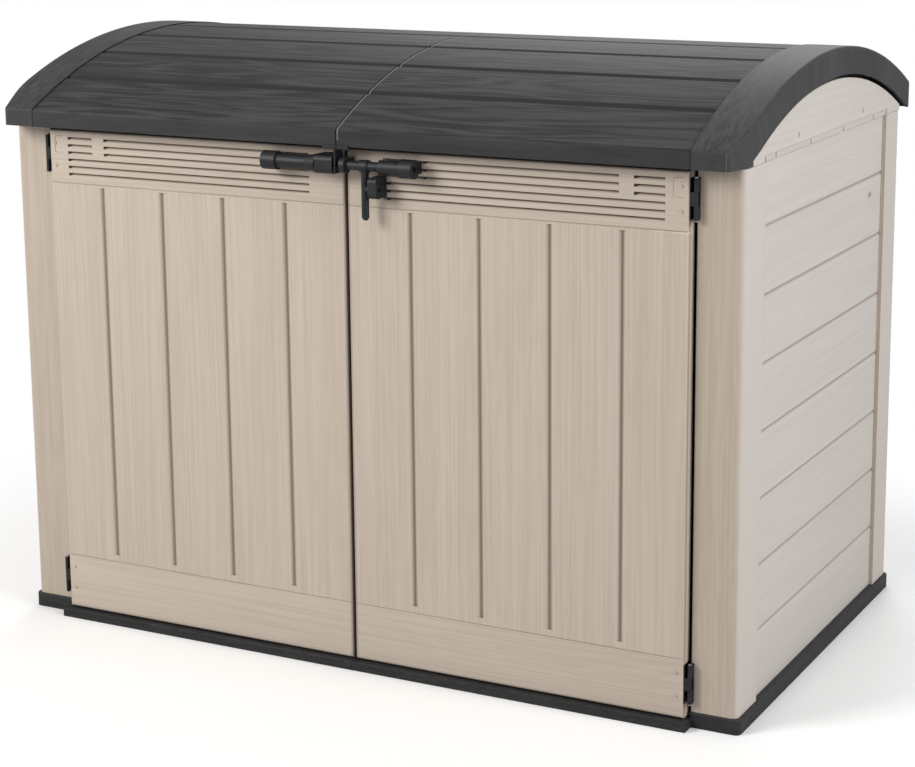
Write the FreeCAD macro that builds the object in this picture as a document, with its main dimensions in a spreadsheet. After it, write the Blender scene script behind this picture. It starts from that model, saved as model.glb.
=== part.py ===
import FreeCAD, Part
import Sketcher
import math
import os

# Garden deck box: a floor in two halves, posts and walls standing on it, two doors,
# an arched lid hinged at the back on gas struts, and a sliding bolt between the doors.
# Millimetres. +X is to the right of someone facing the doors, +Y to the back, +Z up.
# The origin is on the ground, in the middle of the box.

doc = FreeCAD.newDocument("deck_box")

# ---------------------------------------------------------------- driving sizes
SIZES = [
    ("overall_width", 1770, "lid and floor, left to right"),
    ("lid_depth", 1130, "lid, front to back"),
    ("overall_height", 1340, "ground to the crest of the lid"),
    ("floor_depth", 1020, "floor rim, front to back"),
    ("floor_height", 33, "ground to the deck"),
    ("floor_wall", 6, "thickness of the floor's deck and ribs"),
    ("half_gap", 1, "gap between a left half and a right half"),
    ("sill_margin", 105, "end of the sill to the end of the floor"),
    ("sill_reach", 33, "sill in front of the floor rim"),
    ("sill_drop", 14, "sill below the deck"),
    ("doorway_margin", 2, "lowered doorway beyond the post's edge"),
    ("floor_corner", 12, "corner radius of the floor"),
    ("floor_edge", 4, "rounding of the floor's end"),
    ("post_inset", 7, "post's outer face inside the end of the floor"),
    ("post_setback", 3, "post's front or back face inside the floor rim"),
    ("post_width", 99, "post along the front"),
    ("post_depth_front", 112, "front post along the side"),
    ("post_depth_rear", 102, "rear post along the side"),
    ("post_corner", 14, "outer corner radius of a post"),
    ("post_wall", 9, "post's wall"),
    ("wall_drop", 186, "crest of the lid to the top of the walls and posts"),
    ("wall_thickness", 18, "side and back wall with their ribs"),
    ("wall_skin", 5, "skin of a ribbed panel"),
    ("rib", 7, "rib of a ribbed panel"),
    ("board_first", 168, "ground to the lowest joint between boards"),
    ("board_last", 140, "top of the walls to the highest joint between boards"),
    ("joint_height", 14, "height of a joint between boards"),
    ("joint_depth", 3.5, "depth of a joint between boards"),
    ("gable_inset", 8, "gable's outer face inside the end of the floor"),
    ("gable_gap", 68, "gable's top edge below the top of the lid"),
    ("gable_band", 13, "height of the snap band along the gable's foot"),
    ("snap_first", 60, "front post's edge to the first snap slot"),
    ("snap_pitch", 215, "snap slots apart"),
    ("snap_width", 4, "width and depth of a snap slot"),
    ("snap_height", 10, "height of a snap slot"),
    ("clip_front", 195, "front post's edge to the front clip slot"),
    ("clip_rear", 176, "rear post's edge to the rear clip slot"),
    ("clip_rise", 25, "clip slots above the walls"),
    ("rail_height", 60, "back rail"),
    ("lid_radius", 1250, "top of the lid"),
    ("lid_crest", 20, "crest of the lid behind the middle of the box"),
    ("lid_wall", 6, "wall of the lid"),
    ("lid_gap", 2, "lower edge of the lid above the walls"),
    ("lid_seam", 3, "gap between the halves of the lid"),
    ("lid_step", 2, "lid panels below the end caps"),
    ("lid_band", 60, "height of the lid's end skirt"),
    ("cap_width", 100, "lid end cap along the front"),
    ("cap_corner", 21, "how far the cap's front corner narrows"),
    ("cap_corner_length", 87, "length of that narrowing"),
    ("cap_edge", 8, "rounding of the cap's upper edge"),
    ("cap_curve", 250, "curve where that narrowing starts"),
    ("cap_upright", 12, "rounding of the cap's upright corners"),
    ("lid_edge", 8, "rounding of the lid's front and rear edge"),
    ("rib_height", 20, "arched ribs under the lid"),
    ("rib_margin", 25, "arched ribs inside the lid's front and rear edge"),
    ("seam_strip_width", 30, "strip under the joint of the lid"),
    ("seam_strip_height", 5, "thickness of that strip"),
    ("seam_strip_margin", 12, "that strip inside the lid's front and rear edge"),
    ("slat_pitch", 6.6, "angle between grooves of the lid"),
    ("slat_groove", 22, "width of a groove of the lid"),
    ("slat_depth", 4, "depth of a groove of the lid"),
    ("door_gap", 4, "gap between the doors"),
    ("door_side_gap", 9, "door's edge to its post"),
    ("door_proud", 20, "door's face in front of the post's face"),
    ("door_thickness", 30, "door with its ribs"),
    ("door_skin", 7, "skin of the door"),
    ("door_clearance", 3, "door above the sill"),
    ("door_drop", 6, "top of the doors below the top of the walls"),
    ("door_edge", 6, "rounding of the door's face"),
    ("plank_first", 152, "middle of the front to the first groove"),
    ("plank_pitch", 159, "width of one plank of the door"),
    ("plank_groove", 18, "width of a groove between planks"),
    ("plank_depth", 5, "depth of a groove between planks"),
    ("rail_line", 1.5, "depth of the line between planks and rail"),
    ("rail_line_gap", 16, "that line below the planks"),
    ("rail_line_lift", 6, "that line above the planks"),
    ("plank_foot", 165, "ground to the foot of the planks"),
    ("plank_drop", 133, "head of the planks below the top of the walls"),
    ("vent_pitch", 16.2, "height of one louvre"),
    ("vent_slot", 8, "height of a louvre's slot"),
    ("vent_depth", 5, "depth of a louvre's slot"),
    ("vent_drop", 111, "lowest louvre below the top of the walls"),
    ("vent_break", 32, "blank tab in the upper louvres"),
    ("vent_break_place", 621, "middle of the front to the blank tab"),
    ("vent_inner", 90, "middle of the front to the louvres"),
    ("vent_outer", 719, "middle of the front to the far end of the louvres"),
    ("knuckle_radius", 4.5, "door hinge knuckle"),
    ("door_pin_radius", 2.2, "door hinge pin"),
    ("leaf_reach", 34, "door hinge's leaf along the door"),
    ("bracket_width", 6, "door hinge's bracket along the post"),
    ("bracket_thick", 3, "door hinge's bracket"),
    ("pin_head", 2, "thickness of the heads of the hinge pins"),
    ("door_hinge_height", 84, "door hinge"),
    ("door_hinge_low", 54, "ground to the lower door hinge"),
    ("door_hinge_drop", 104, "foot of the upper door hinge below the top of the walls"),
    ("door_axis_out", 13, "door hinge axis in front of the post's face"),
    ("door_axis_beyond", 1.5, "door hinge axis beyond the post's edge"),
    ("lid_axis_back", 18, "lid hinge axis behind the rear posts"),
    ("lid_axis_down", 4, "lid hinge axis below the top of the walls"),
    ("lid_knuckle_radius", 8, "lid hinge knuckle"),
    ("lid_pin_radius", 4, "lid hinge pin"),
    ("lid_hinge_width", 60, "lid hinge"),
    ("lid_bracket_height", 34, "lid hinge's bracket below the axis"),
    ("lid_leaf_height", 44, "lid hinge's leaf above the axis"),
    ("lid_leaf_thick", 4, "lid hinge's bracket and leaf"),
    ("lid_hinge_inner", 240, "middle of the box to an inner lid hinge"),
    ("lid_hinge_outer", 640, "middle of the box to an outer lid hinge"),
    ("pin_clearance", 0.05, "pin in its bore, on the radius"),
    ("side_play", 0.5, "between knuckles, along the pin"),
    ("bolt_out", 31, "bolt's axis in front of the door's face"),
    ("bolt_drop", 36, "bolt's axis below the top of the walls"),
    ("bolt_radius", 10, "bolt"),
    ("bolt_travel", 30, "travel of the bolt"),
    ("bolt_tip", 9, "bolt's tip beyond the middle of the box"),
    ("bolt_length", 146, "bolt"),
    ("barrel_radius", 15, "bolt's barrel and the door grip"),
    ("collar_radius", 20, "collar at the end of the barrel"),
    ("socket_clearance", 0.6, "bolt in the keeper and the catch, on the radius"),
    ("barrel_length", 81, "bolt's barrel"),
    ("barrel_beyond", 26, "barrel's far end beyond the bolt"),
    ("collar_length", 30, "collar at the end of the barrel"),
    ("end_hole", 6.5, "hole in the end of the collar"),
    ("latch_foot", 12, "half the height of the latch's feet on the doors"),
    ("guide_length", 12, "ring that guides the bolt"),
    ("guide_wall", 7.5, "wall of that ring"),
    ("keeper_near", 6, "middle of the front to the keeper"),
    ("keeper_length", 44, "keeper"),
    ("keeper_half", 20, "half the height of the keeper"),
    ("keeper_nose", 17, "keeper in front of the bolt's axis"),
    ("keeper_round", 12, "rounding of the keeper"),
    ("grip_length", 130, "door grip"),
    ("flare_length", 26, "grip's flare into the keeper"),
    ("rest_length", 34, "raised rest of the grip"),
    ("rest_rise", 5, "raised rest above the grip"),
    ("catch_thick", 3, "tongue of the lid's catch"),
    ("catch_half", 31, "half the length of the lid's catch"),
    ("catch_plate", 5, "plate of the lid's catch"),
    ("catch_upstand", 26, "upstand of the catch inside the lid's fascia"),
    ("catch_eye_half", 15, "half the width of the catch's tongue"),
    ("lever_place", 64, "middle of the box to the bolt's lever"),
    ("lever_radius", 8.5, "lever of the bolt"),
    ("lever_length", 113, "lever of the bolt, from the bolt's axis"),
    ("hasp_radius", 4.5, "padlock eye"),
    ("lug_drop", 48, "padlock eye below the bolt's axis"),
    ("lug_length", 20, "padlock lug"),
    ("lug_gap", 5.5, "padlock lug beside the lever"),
    ("lug_nose", 16, "padlock lug in front of the bolt's axis"),
    ("lug_below", 18, "padlock lug below its eye"),
    ("lug_above", 26, "padlock lug above its eye"),
    ("lug_round", 10, "rounding of the padlock lug"),
    ("hub_wall", 3.5, "wall of the lever's hub round the bolt"),
    ("hub_lip", 0.5, "hub beyond the lever's stem at each end"),
    ("boss_gap", 1, "boss on the lever to the padlock lug"),
    ("hasp_wall", 3, "boss round the eye of the lever"),
    ("keeper_end", 4, "closed end of the keeper's socket"),
    ("lever_tip", 5, "tapered tip of the lever"),
    ("rod_collar", 2, "collars that hold the lever on the bolt"),
    ("strut_off", 21, "side wall's inner face to the middle of a gas strut"),
    ("strut_foot_y", 360, "gas strut's lower pivot, along Y"),
    ("strut_foot_rise", 61.25, "gas strut's lower pivot above the wall's highest rib"),
    ("strut_head_y", 420, "gas strut's upper pivot, along Y"),
    ("strut_head_rise", 55, "gas strut's upper pivot above the lid's axis"),
    ("strut_radius", 10, "gas strut's cylinder"),
    ("strut_rod_radius", 4, "gas strut's rod"),
    ("strut_rod_short", 2, "gas strut's upper pivot to the end of its rod"),
    ("strut_cylinder_length", 205, "gas strut's cylinder, from its pivot"),
    ("strut_pin_radius", 4, "gas strut's pivots"),
    ("strut_pin_end", 3, "gas strut's lower pivot beyond its eye"),
    ("strut_eye_width", 12, "gas strut's eyes, along their pins"),
    ("strut_foot_eye", 11, "eye at the foot of a gas strut"),
    ("strut_head_eye", 9, "end cap at the head of a gas strut"),
    ("strut_tube_start", 10, "lower pivot to the start of the tube"),
    ("strut_hollow_start", 25, "lower pivot to the start of the tube's hollow"),
    ("strut_tube_wall", 2, "wall of the gas strut's tube"),
    ("strut_gland", 8, "closed end of the tube round the rod"),
    ("strut_piston_start", 60, "lower pivot to the piston, with the lid closed"),
    ("strut_piston", 10, "piston of a gas strut"),
    ("strut_foot_half", 20, "half the width of a gas strut's lower bracket"),
    ("strut_foot_proud", 6, "lower bracket inside the wall"),
    ("strut_head_half", 18, "half the width of a gas strut's upper bracket"),
    ("strut_head_drop", 12, "upper bracket below the strut's upper pivot"),
    ("strut_head_thick", 5, "upper bracket"),
    ("screw_radius", 3, "fixing screws"),
    ("screw_head", 5.5, "heads of the fixing screws"),
    ("screw_head_height", 2.5, "height of those heads"),
    ("floor_strip_half", 20, "half the width of the strip over the floor's joint"),
    ("floor_strip_thick", 2, "strip over the floor's joint"),
    ("back_strip_half", 25, "half the width of the strip over the back wall's joint"),
    ("back_strip_thick", 3, "strip over the back wall's joint"),
]

dims = doc.addObject("Spreadsheet::Sheet", "dims")
for row, (alias, value, meaning) in enumerate(SIZES, start=1):
    dims.set(f"A{row}", meaning)
    dims.set(f"B{row}", str(value))
    dims.setAlias(f"B{row}", alias)
doc.recompute()


def size(name):
    return f"dims.{name}"


def measure(expression):
    """The number that an expression on the sheet gives."""
    result = dims.evalExpression(str(expression))
    return float(getattr(result, "Value", result))


# ------------------------------------------------- places worked out from the sizes
END = "(dims.overall_width / 2)"
RIM_FRONT = "(-dims.floor_depth / 2)"
RIM_REAR = "(dims.floor_depth / 2)"
SILL_FRONT = f"({RIM_FRONT} - dims.sill_reach)"
SILL_END = f"({END} - dims.sill_margin)"
SILL_TOP = "(dims.floor_height - dims.sill_drop)"
SEAM = "(dims.half_gap / 2)"
WALL_TOP = "(dims.overall_height - dims.wall_drop)"
POST_OUT = f"({END} - dims.post_inset)"
POST_IN = f"({POST_OUT} - dims.post_width)"
POST_FRONT = f"({RIM_FRONT} + dims.post_setback)"
POST_REAR = f"({RIM_REAR} - dims.post_setback)"
POST_BACK_FRONT = f"({POST_FRONT} + dims.post_depth_front)"
POST_BACK_REAR = f"({POST_REAR} - dims.post_depth_rear)"
WALL_OUT = f"({POST_OUT} - dims.post_wall)"
WALL_IN = f"({WALL_OUT} - dims.wall_thickness)"
WALL_FRONT = f"({POST_FRONT} + dims.post_wall)"
WALL_REAR = f"({POST_REAR} - dims.post_wall)"
GABLE_OUT = f"({END} - dims.gable_inset)"
GABLE_FRONT = f"(2 * dims.lid_crest - {POST_REAR})"
GABLE_RADIUS = "(dims.lid_radius - dims.gable_gap)"
BOARD_JOINTS = 7
BOARD_PITCH = f"(({WALL_TOP} - dims.board_first - dims.board_last) / {BOARD_JOINTS - 1})"
DOOR_FACE = f"({POST_FRONT} - dims.door_proud)"
DOOR_BACK = f"({DOOR_FACE} + dims.door_thickness)"
DOOR_IN = "(dims.door_gap / 2)"
DOOR_OUT = f"({POST_IN} - dims.door_side_gap)"
DOOR_BOTTOM = f"({SILL_TOP} + dims.door_clearance)"
DOOR_TOP = f"({WALL_TOP} - dims.door_drop)"
PLANK_HEAD = f"({WALL_TOP} - dims.plank_drop)"
DOOR_AXIS_X = f"({POST_IN} + dims.door_axis_beyond)"
DOOR_AXIS_Y = f"({POST_FRONT} - dims.door_axis_out)"
LID_SEAM = "(dims.lid_seam / 2)"
LID_FRONT = "(-dims.lid_depth / 2)"
LID_REAR = "(dims.lid_depth / 2)"
LID_BOTTOM = f"({WALL_TOP} + dims.lid_gap)"
ARC_Y = size("lid_crest")
ARC_Z = "(dims.overall_height - dims.lid_radius)"
CAP_IN = f"({END} - dims.cap_width)"
SKIRT_RADIUS = "(dims.lid_radius - dims.lid_band)"
LID_AXIS_Y = f"({POST_REAR} + dims.lid_axis_back)"
LID_AXIS_Z = f"({WALL_TOP} - dims.lid_axis_down)"
BOLT_Y = f"({DOOR_FACE} - dims.bolt_out)"
BOLT_Z = f"({WALL_TOP} - dims.bolt_drop)"
STRUT_X = f"({WALL_IN} - dims.strut_off)"
WALL_ROWS = 4
WALL_ROW = f"(({WALL_TOP} - dims.floor_height) / {WALL_ROWS})"
STRUT_FOOT_Z = f"({WALL_TOP} - {WALL_ROW} + dims.strut_foot_rise)"
STRUT_HEAD_Z = f"({LID_AXIS_Z} + dims.strut_head_rise)"


# ------------------------------------------------------------------ small helpers
def new_body(name):
    body = doc.addObject("PartDesign::Body", name)
    body.Label = name
    return body


def sketch_on(body, role, offset="0"):
    """A sketch on one of the body's origin planes, moved along the plane's normal."""
    plane = next(f for f in body.Origin.OriginFeatures if f.Role == role)
    sketch = body.newObject("Sketcher::SketchObject", f"{body.Name}_sketch")
    sketch.AttachmentSupport = [(plane, "")]
    sketch.MapMode = "FlatFace"
    sketch.setExpression("AttachmentOffset.Base.z", str(offset))
    return sketch


def closed_outline(sketch, corners):
    """Closed outline through corners (x, y). A corner with a third entry, (centre x,
    centre y, radius), starts an arc that ends on the next corner, and each end of an
    arc gives only one coordinate; the other is None with a guess beside it."""
    first = sketch.GeometryCount
    count = len(corners)
    places = []
    for corner in corners:
        places.append([measure(c[1]) if isinstance(c, tuple) else measure(c) for c in corner[:2]])
    for i, corner in enumerate(corners):
        start = FreeCAD.Vector(*places[i], 0)
        end = FreeCAD.Vector(*places[(i + 1) % count], 0)
        if len(corner) == 3:
            centre = FreeCAD.Vector(measure(corner[2][0]), measure(corner[2][1]), 0)
            radius = measure(corner[2][2])
            middle = (start - centre).normalize() + (end - centre).normalize()
            middle = centre + middle.normalize() * radius
            arc = Part.Arc(start, middle, end)
            sketch.addGeometry(arc, False)
        else:
            sketch.addGeometry(Part.LineSegment(start, end), False)
    ends = []
    for i, corner in enumerate(corners):
        # An arc is stored counter-clockwise, so its start may be either corner.
        edge = first + i
        begin = FreeCAD.Vector(*places[i], 0)
        swapped = (sketch.getPoint(edge, 1) - begin).Length > 1e-6
        ends.append((2, 1) if swapped else (1, 2))
    for i, corner in enumerate(corners):
        edge = first + i
        after = first + (i + 1) % count
        sketch.addConstraint(Sketcher.Constraint(
            "Coincident", edge, ends[i][1], after, ends[(i + 1) % count][0]))
        if len(corner) == 3:
            for kind, value in zip(("DistanceX", "DistanceY"), corner[2][:2]):
                pin_value(sketch, Sketcher.Constraint(kind, -1, 1, edge, 3, measure(value)), value)
            pin_value(sketch, Sketcher.Constraint("Radius", edge, measure(corner[2][2])), corner[2][2])
    for i, corner in enumerate(corners):
        for kind, value in zip(("DistanceX", "DistanceY"), corner[:2]):
            if not isinstance(value, tuple):
                pin_value(sketch, Sketcher.Constraint(
                    kind, -1, 1, first + i, ends[i][0], measure(value)), value)


def pin_value(sketch, constraint, expression):
    index = sketch.addConstraint(constraint)
    sketch.setExpression(f"Constraints[{index}]", str(expression))


def rectangle(sketch, x_low, x_high, y_low, y_high):
    closed_outline(sketch, [(x_low, y_low), (x_high, y_low), (x_high, y_high), (x_low, y_high)])


def circle(sketch, x, y, radius):
    index = sketch.addGeometry(Part.Circle(
        FreeCAD.Vector(measure(x), measure(y), 0), FreeCAD.Vector(0, 0, 1), measure(radius)), False)
    pin_value(sketch, Sketcher.Constraint("DistanceX", -1, 1, index, 3, measure(x)), x)
    pin_value(sketch, Sketcher.Constraint("DistanceY", -1, 1, index, 3, measure(y)), y)
    pin_value(sketch, Sketcher.Constraint("Radius", index, measure(radius)), radius)


def pad(body, sketch, length, backwards=False):
    feature = body.newObject("PartDesign::Pad", f"{body.Name}_pad")
    feature.Profile = sketch
    feature.setExpression("Length", str(length))
    feature.Reversed = backwards
    doc.recompute()
    return feature


def pocket(body, sketch, depth, backwards=False):
    """Cuts the sketch into the body, and stops if nothing was cut."""
    before = body.Shape.Volume
    feature = body.newObject("PartDesign::Pocket", f"{body.Name}_pocket")
    feature.Profile = sketch
    feature.setExpression("Length", str(depth))
    feature.Reversed = backwards
    doc.recompute()
    if body.Shape.Volume > before - 1e-3:
        raise RuntimeError(f"{feature.Name} cut nothing")
    return feature


def edges_where(shape, test):
    return [f"Edge{i}" for i, edge in enumerate(shape.Edges, start=1) if test(edge)]


def faces_where(shape, test):
    return [f"Face{i}" for i, face in enumerate(shape.Faces, start=1) if test(face)]


def fillet(body, test, radius):
    base = body.Tip
    feature = body.newObject("PartDesign::Fillet", f"{body.Name}_fillet")
    feature.Base = (base, edges_where(base.Shape, test))
    feature.setExpression("Radius", str(radius))
    doc.recompute()
    return feature


def hollow(body, test, thickness):
    """Opens the faces that pass the test and leaves a wall everywhere else."""
    base = body.Tip
    feature = body.newObject("PartDesign::Thickness", f"{body.Name}_shell")
    feature.Base = (base, faces_where(base.Shape, test))
    feature.setExpression("Value", str(thickness))
    feature.Reversed = True
    feature.Join = "Intersection"
    doc.recompute()
    return feature


def vertical(edge):
    box = edge.BoundBox
    return box.XLength < 0.01 and box.YLength < 0.01 and box.ZLength > 0.01


def at(value, wanted):
    return abs(value - measure(wanted)) < 0.01


def along_x(edge):
    box = edge.BoundBox
    return box.YLength < 0.01 and box.ZLength < 0.01


def flat_at(face, letter, place):
    box = face.BoundBox
    low, high = getattr(box, letter + "Min"), getattr(box, letter + "Max")
    return high - low < 0.01 and at(low, place)


def arc_height(y, radius):
    """Height of the lid's arc of this radius above a place y."""
    return measure(f"{ARC_Z} + sqrt({radius} ^ 2 - ({y} - {ARC_Y}) ^ 2)")


def cylinder(name, axis, place, radius, length):
    """A Part cylinder from place, along +X, +Y or +Z."""
    item = doc.addObject("Part::Cylinder", name)
    item.setExpression("Radius", str(radius))
    item.setExpression("Height", str(length))
    turn = {
        "X": FreeCAD.Rotation(FreeCAD.Vector(0, 1, 0), 90),
        "Y": FreeCAD.Rotation(FreeCAD.Vector(1, 0, 0), -90),
        "Z": FreeCAD.Rotation(),
    }[axis]
    item.Placement = FreeCAD.Placement(FreeCAD.Vector(), turn)
    move(item, place)
    return item


def move(item, place):
    for letter, value in zip("xyz", place):
        item.setExpression(f"Placement.Base.{letter}", str(value))


def block(name, low, high):
    """A Part box between two corners."""
    item = doc.addObject("Part::Box", name)
    for letter, side, a, b in zip("xyz", ("Length", "Width", "Height"), low, high):
        item.setExpression(f"Placement.Base.{letter}", str(a))
        item.setExpression(side, f"({b}) - ({a})")
    return item


def fuse(name, items):
    joined = doc.addObject("Part::MultiFuse", name)
    joined.Shapes = items
    joined.Refine = True
    joined.Label = name
    return joined


def group(name, items):
    """Like pieces that share a node, each its own solid."""
    together = doc.addObject("Part::Compound", name)
    together.Links = items
    together.Label = name
    return together


def cut(name, base, tool):
    result = doc.addObject("Part::Cut", name)
    result.Base = base
    result.Tool = tool
    result.Label = name
    return result


def mirrored(name, source):
    """The left-hand copy of a right-hand piece."""
    copy = doc.addObject("Part::Mirroring", name)
    copy.Source = source
    copy.Base = FreeCAD.Vector(0, 0, 0)
    copy.Normal = FreeCAD.Vector(1, 0, 0)
    copy.Label = name
    return copy


NODES = {}


def node(item):
    NODES[item.Label] = item
    return item


def node_pair(right, left_name):
    node(right)
    return node(mirrored(left_name, right))


# ------------------------------------------------------------------------- floor
def floor_panel():
    """Half of the floor: deck, rim, sill in front of the doors, and cells beneath."""
    body = new_body("floor_panel_right")
    outline = sketch_on(body, "XY_Plane")
    closed_outline(outline, [
        (SEAM, SILL_FRONT), (SILL_END, SILL_FRONT), (SILL_END, RIM_FRONT), (END, RIM_FRONT),
        (END, RIM_REAR), (SEAM, RIM_REAR)])
    pad(body, outline, size("floor_height"))
    doorway = sketch_on(body, "XY_Plane", size("floor_height"))
    rectangle(doorway, SEAM, f"{POST_IN} - dims.doorway_margin", SILL_FRONT,
              f"{DOOR_BACK} + dims.door_clearance")
    pocket(body, doorway, size("sill_drop"))
    end_of_sill = sketch_on(body, "XY_Plane", size("floor_height"))
    rectangle(end_of_sill, f"{POST_IN} - dims.doorway_margin", f"{SILL_END} + 1", SILL_FRONT, RIM_FRONT)
    pocket(body, end_of_sill, size("sill_drop"))
    fillet(body, lambda e: vertical(e) and at(e.BoundBox.XMin, END), size("floor_corner"))
    fillet(body, lambda e: at(e.BoundBox.XMin, END) and at(e.BoundBox.XMax, END)
           and at(e.BoundBox.ZMin, "dims.floor_height"), size("floor_edge"))
    cells = sketch_on(body, "XY_Plane")
    behind_doorway = f"({DOOR_BACK} + dims.door_clearance)"
    ribbed_cells(cells, SEAM, END, behind_doorway, RIM_REAR, 4, 5, size("floor_wall"))
    pocket(body, cells, "dims.floor_height - dims.floor_wall", backwards=True)
    return body


def ribbed_cells(sketch, x_low, x_high, y_low, y_high, columns, rows, rib):
    """Grid of rectangles that leaves a rib between them and all round."""
    wide = f"(({x_high} - ({x_low}) - {rib}) / {columns})"
    tall = f"(({y_high} - ({y_low}) - {rib}) / {rows})"
    for i in range(columns):
        for j in range(rows):
            rectangle(
                sketch,
                f"{x_low} + {rib} + {i} * {wide}", f"{x_low} + {i + 1} * {wide}",
                f"{y_low} + {rib} + {j} * {tall}", f"{y_low} + {j + 1} * {tall}")


# --------------------------------------------------------------- posts and walls
def corner_post(name, outer_y, inner_y, wall_y):
    """An L-shaped post: one leg along the front or back, one along the side."""
    body = new_body(name)
    outline = sketch_on(body, "XY_Plane", size("floor_height"))
    closed_outline(outline, [
        (POST_IN, outer_y), (POST_OUT, outer_y), (POST_OUT, inner_y), (WALL_OUT, inner_y),
        (WALL_OUT, wall_y), (POST_IN, wall_y)])
    pad(body, outline, f"{WALL_TOP} - dims.floor_height")
    fillet(body, lambda e: vertical(e) and at(e.BoundBox.XMin, POST_OUT)
           and at(e.BoundBox.YMin, outer_y), size("post_corner"))
    return body


def board_joints(sketch, face):
    """V-shaped joints between boards, in a face that looks along the sketch's x."""
    for i in range(BOARD_JOINTS):
        low = f"dims.board_first + {i} * {BOARD_PITCH}"
        closed_outline(sketch, [
            (f"{face} + 1", low),
            (f"{face} + 1", f"{low} + dims.joint_height"),
            (f"{face} - dims.joint_depth", f"{low} + dims.joint_height / 2")])


def side_wall():
    """Ribbed side wall. Its boards show between the posts, set back from them."""
    body = new_body("side_wall_right")
    outline = sketch_on(body, "YZ_Plane", WALL_IN)
    rectangle(outline, WALL_FRONT, WALL_REAR, size("floor_height"), WALL_TOP)
    pad(body, outline, size("wall_thickness"))
    joints = sketch_on(body, "XZ_Plane", f"-({POST_BACK_FRONT})")
    board_joints(joints, WALL_OUT)
    pocket(body, joints, f"{POST_BACK_REAR} - ({POST_BACK_FRONT})")
    cells = sketch_on(body, "YZ_Plane", WALL_IN)
    ribbed_cells(cells, WALL_FRONT, WALL_REAR, size("floor_height"), WALL_TOP, 4, WALL_ROWS,
                 size("rib"))
    pocket(body, cells, "dims.wall_thickness - dims.wall_skin", backwards=True)
    return body


def back_wall():
    """Half of the ribbed back wall, behind the rear posts and the back rail."""
    body = new_body("back_wall_whole")
    face = WALL_REAR
    inner = f"({face} - dims.wall_thickness)"
    outline = sketch_on(body, "XZ_Plane", f"-({face})")
    rectangle(outline, SEAM, WALL_IN, size("floor_height"), WALL_TOP)
    pad(body, outline, size("wall_thickness"))
    joints = sketch_on(body, "YZ_Plane", SEAM)
    board_joints(joints, face)
    pocket(body, joints, f"{POST_IN} - {SEAM}", backwards=True)
    cells = sketch_on(body, "XZ_Plane", f"-({inner})")
    ribbed_cells(cells, SEAM, WALL_IN, size("floor_height"), WALL_TOP, 4, WALL_ROWS,
                 size("rib"))
    pocket(body, cells, "dims.wall_thickness - dims.wall_skin")
    return body


def gable():
    """Arched panel that closes the end under the lid, flush with the posts."""
    body = new_body("gable_right")
    face = GABLE_OUT
    outline = sketch_on(body, "YZ_Plane", f"{face} - dims.wall_thickness")
    closed_outline(outline, [
        (GABLE_FRONT, WALL_TOP),
        (POST_REAR, WALL_TOP),
        (POST_REAR, (None, arc_height(POST_REAR, GABLE_RADIUS)), (ARC_Y, ARC_Z, GABLE_RADIUS)),
        (GABLE_FRONT, (None, arc_height(GABLE_FRONT, GABLE_RADIUS)))])
    pad(body, outline, size("wall_thickness"))
    band = sketch_on(body, "YZ_Plane", face)
    rectangle(band, POST_BACK_FRONT, POST_BACK_REAR, f"{WALL_TOP} - 1",
              f"{WALL_TOP} + dims.gable_band")
    pocket(body, band, 1)
    slots = sketch_on(body, "YZ_Plane", face)
    for i in range(4):
        snap_slot(slots, f"{POST_BACK_FRONT} + dims.snap_first + {i} * dims.snap_pitch",
                  f"{WALL_TOP} + 1")
    for place in (f"{POST_BACK_FRONT} + dims.clip_front", f"{POST_BACK_REAR} - dims.clip_rear"):
        snap_slot(slots, place, f"{WALL_TOP} + dims.clip_rise")
    for place in (f"{POST_BACK_FRONT} - dims.snap_width", f"{POST_BACK_REAR} + dims.snap_width"):
        snap_slot(slots, place, f"{WALL_TOP} + 1")
    pocket(body, slots, size("snap_width"))
    return body


def snap_slot(sketch, y, z):
    half = "dims.snap_width / 2"
    rectangle(sketch, f"{y} - {half}", f"{y} + {half}", z, f"{z} + dims.snap_height")


def back_rail():
    """Rail across the back, between the rear posts, that carries the lid's hinges."""
    body = new_body("back_rail_whole")
    outline = sketch_on(body, "XZ_Plane", f"-({POST_REAR})")
    rectangle(outline, f"-({POST_IN})", POST_IN, f"{WALL_TOP} - dims.rail_height", WALL_TOP)
    pad(body, outline, size("post_wall"))
    return body


node_pair(floor_panel(), "floor_panel_left")
node_pair(corner_post("front_post_right", POST_FRONT, POST_BACK_FRONT, WALL_FRONT),
          "front_post_left")
node_pair(corner_post("rear_post_right", POST_REAR, POST_BACK_REAR, WALL_REAR), "rear_post_left")
node_pair(side_wall(), "side_wall_left")
node_pair(gable(), "gable_left")


# --------------------------------------------------------------------------- lid
def lid_outline(sketch):
    """Lid seen from the side: front fascia, arched top and rear skirt."""
    radius = "(dims.lid_radius - dims.lid_step)"
    closed_outline(sketch, [
        (LID_FRONT, LID_BOTTOM),
        (LID_REAR, LID_BOTTOM),
        (LID_REAR, (None, arc_height(LID_REAR, radius)), (ARC_Y, ARC_Z, radius)),
        (LID_FRONT, (None, arc_height(LID_FRONT, radius)))])


def lid_panel():
    """Half of the lid between its end caps: an arched shell with ribs across it."""
    body = new_body("lid_panel_right")
    outline = sketch_on(body, "YZ_Plane", LID_SEAM)
    lid_outline(outline)
    pad(body, outline, f"{CAP_IN} - {LID_SEAM}")
    fillet(body, lambda e: along_x(e) and e.BoundBox.ZMin > measure(f"{LID_BOTTOM} + 1"),
           size("lid_edge"))
    hollow(body, lambda f: flat_at(f, "X", LID_SEAM) or flat_at(f, "X", CAP_IN)
           or flat_at(f, "Z", LID_BOTTOM), size("lid_wall"))
    grooves = sketch_on(body, "YZ_Plane", LID_SEAM)
    for i in range(7):
        slat_groove(grooves, f"({i} - 3) * dims.slat_pitch - 1.3")
    pocket(body, grooves, f"{CAP_IN} - {LID_SEAM}", backwards=True)
    return body


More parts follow.
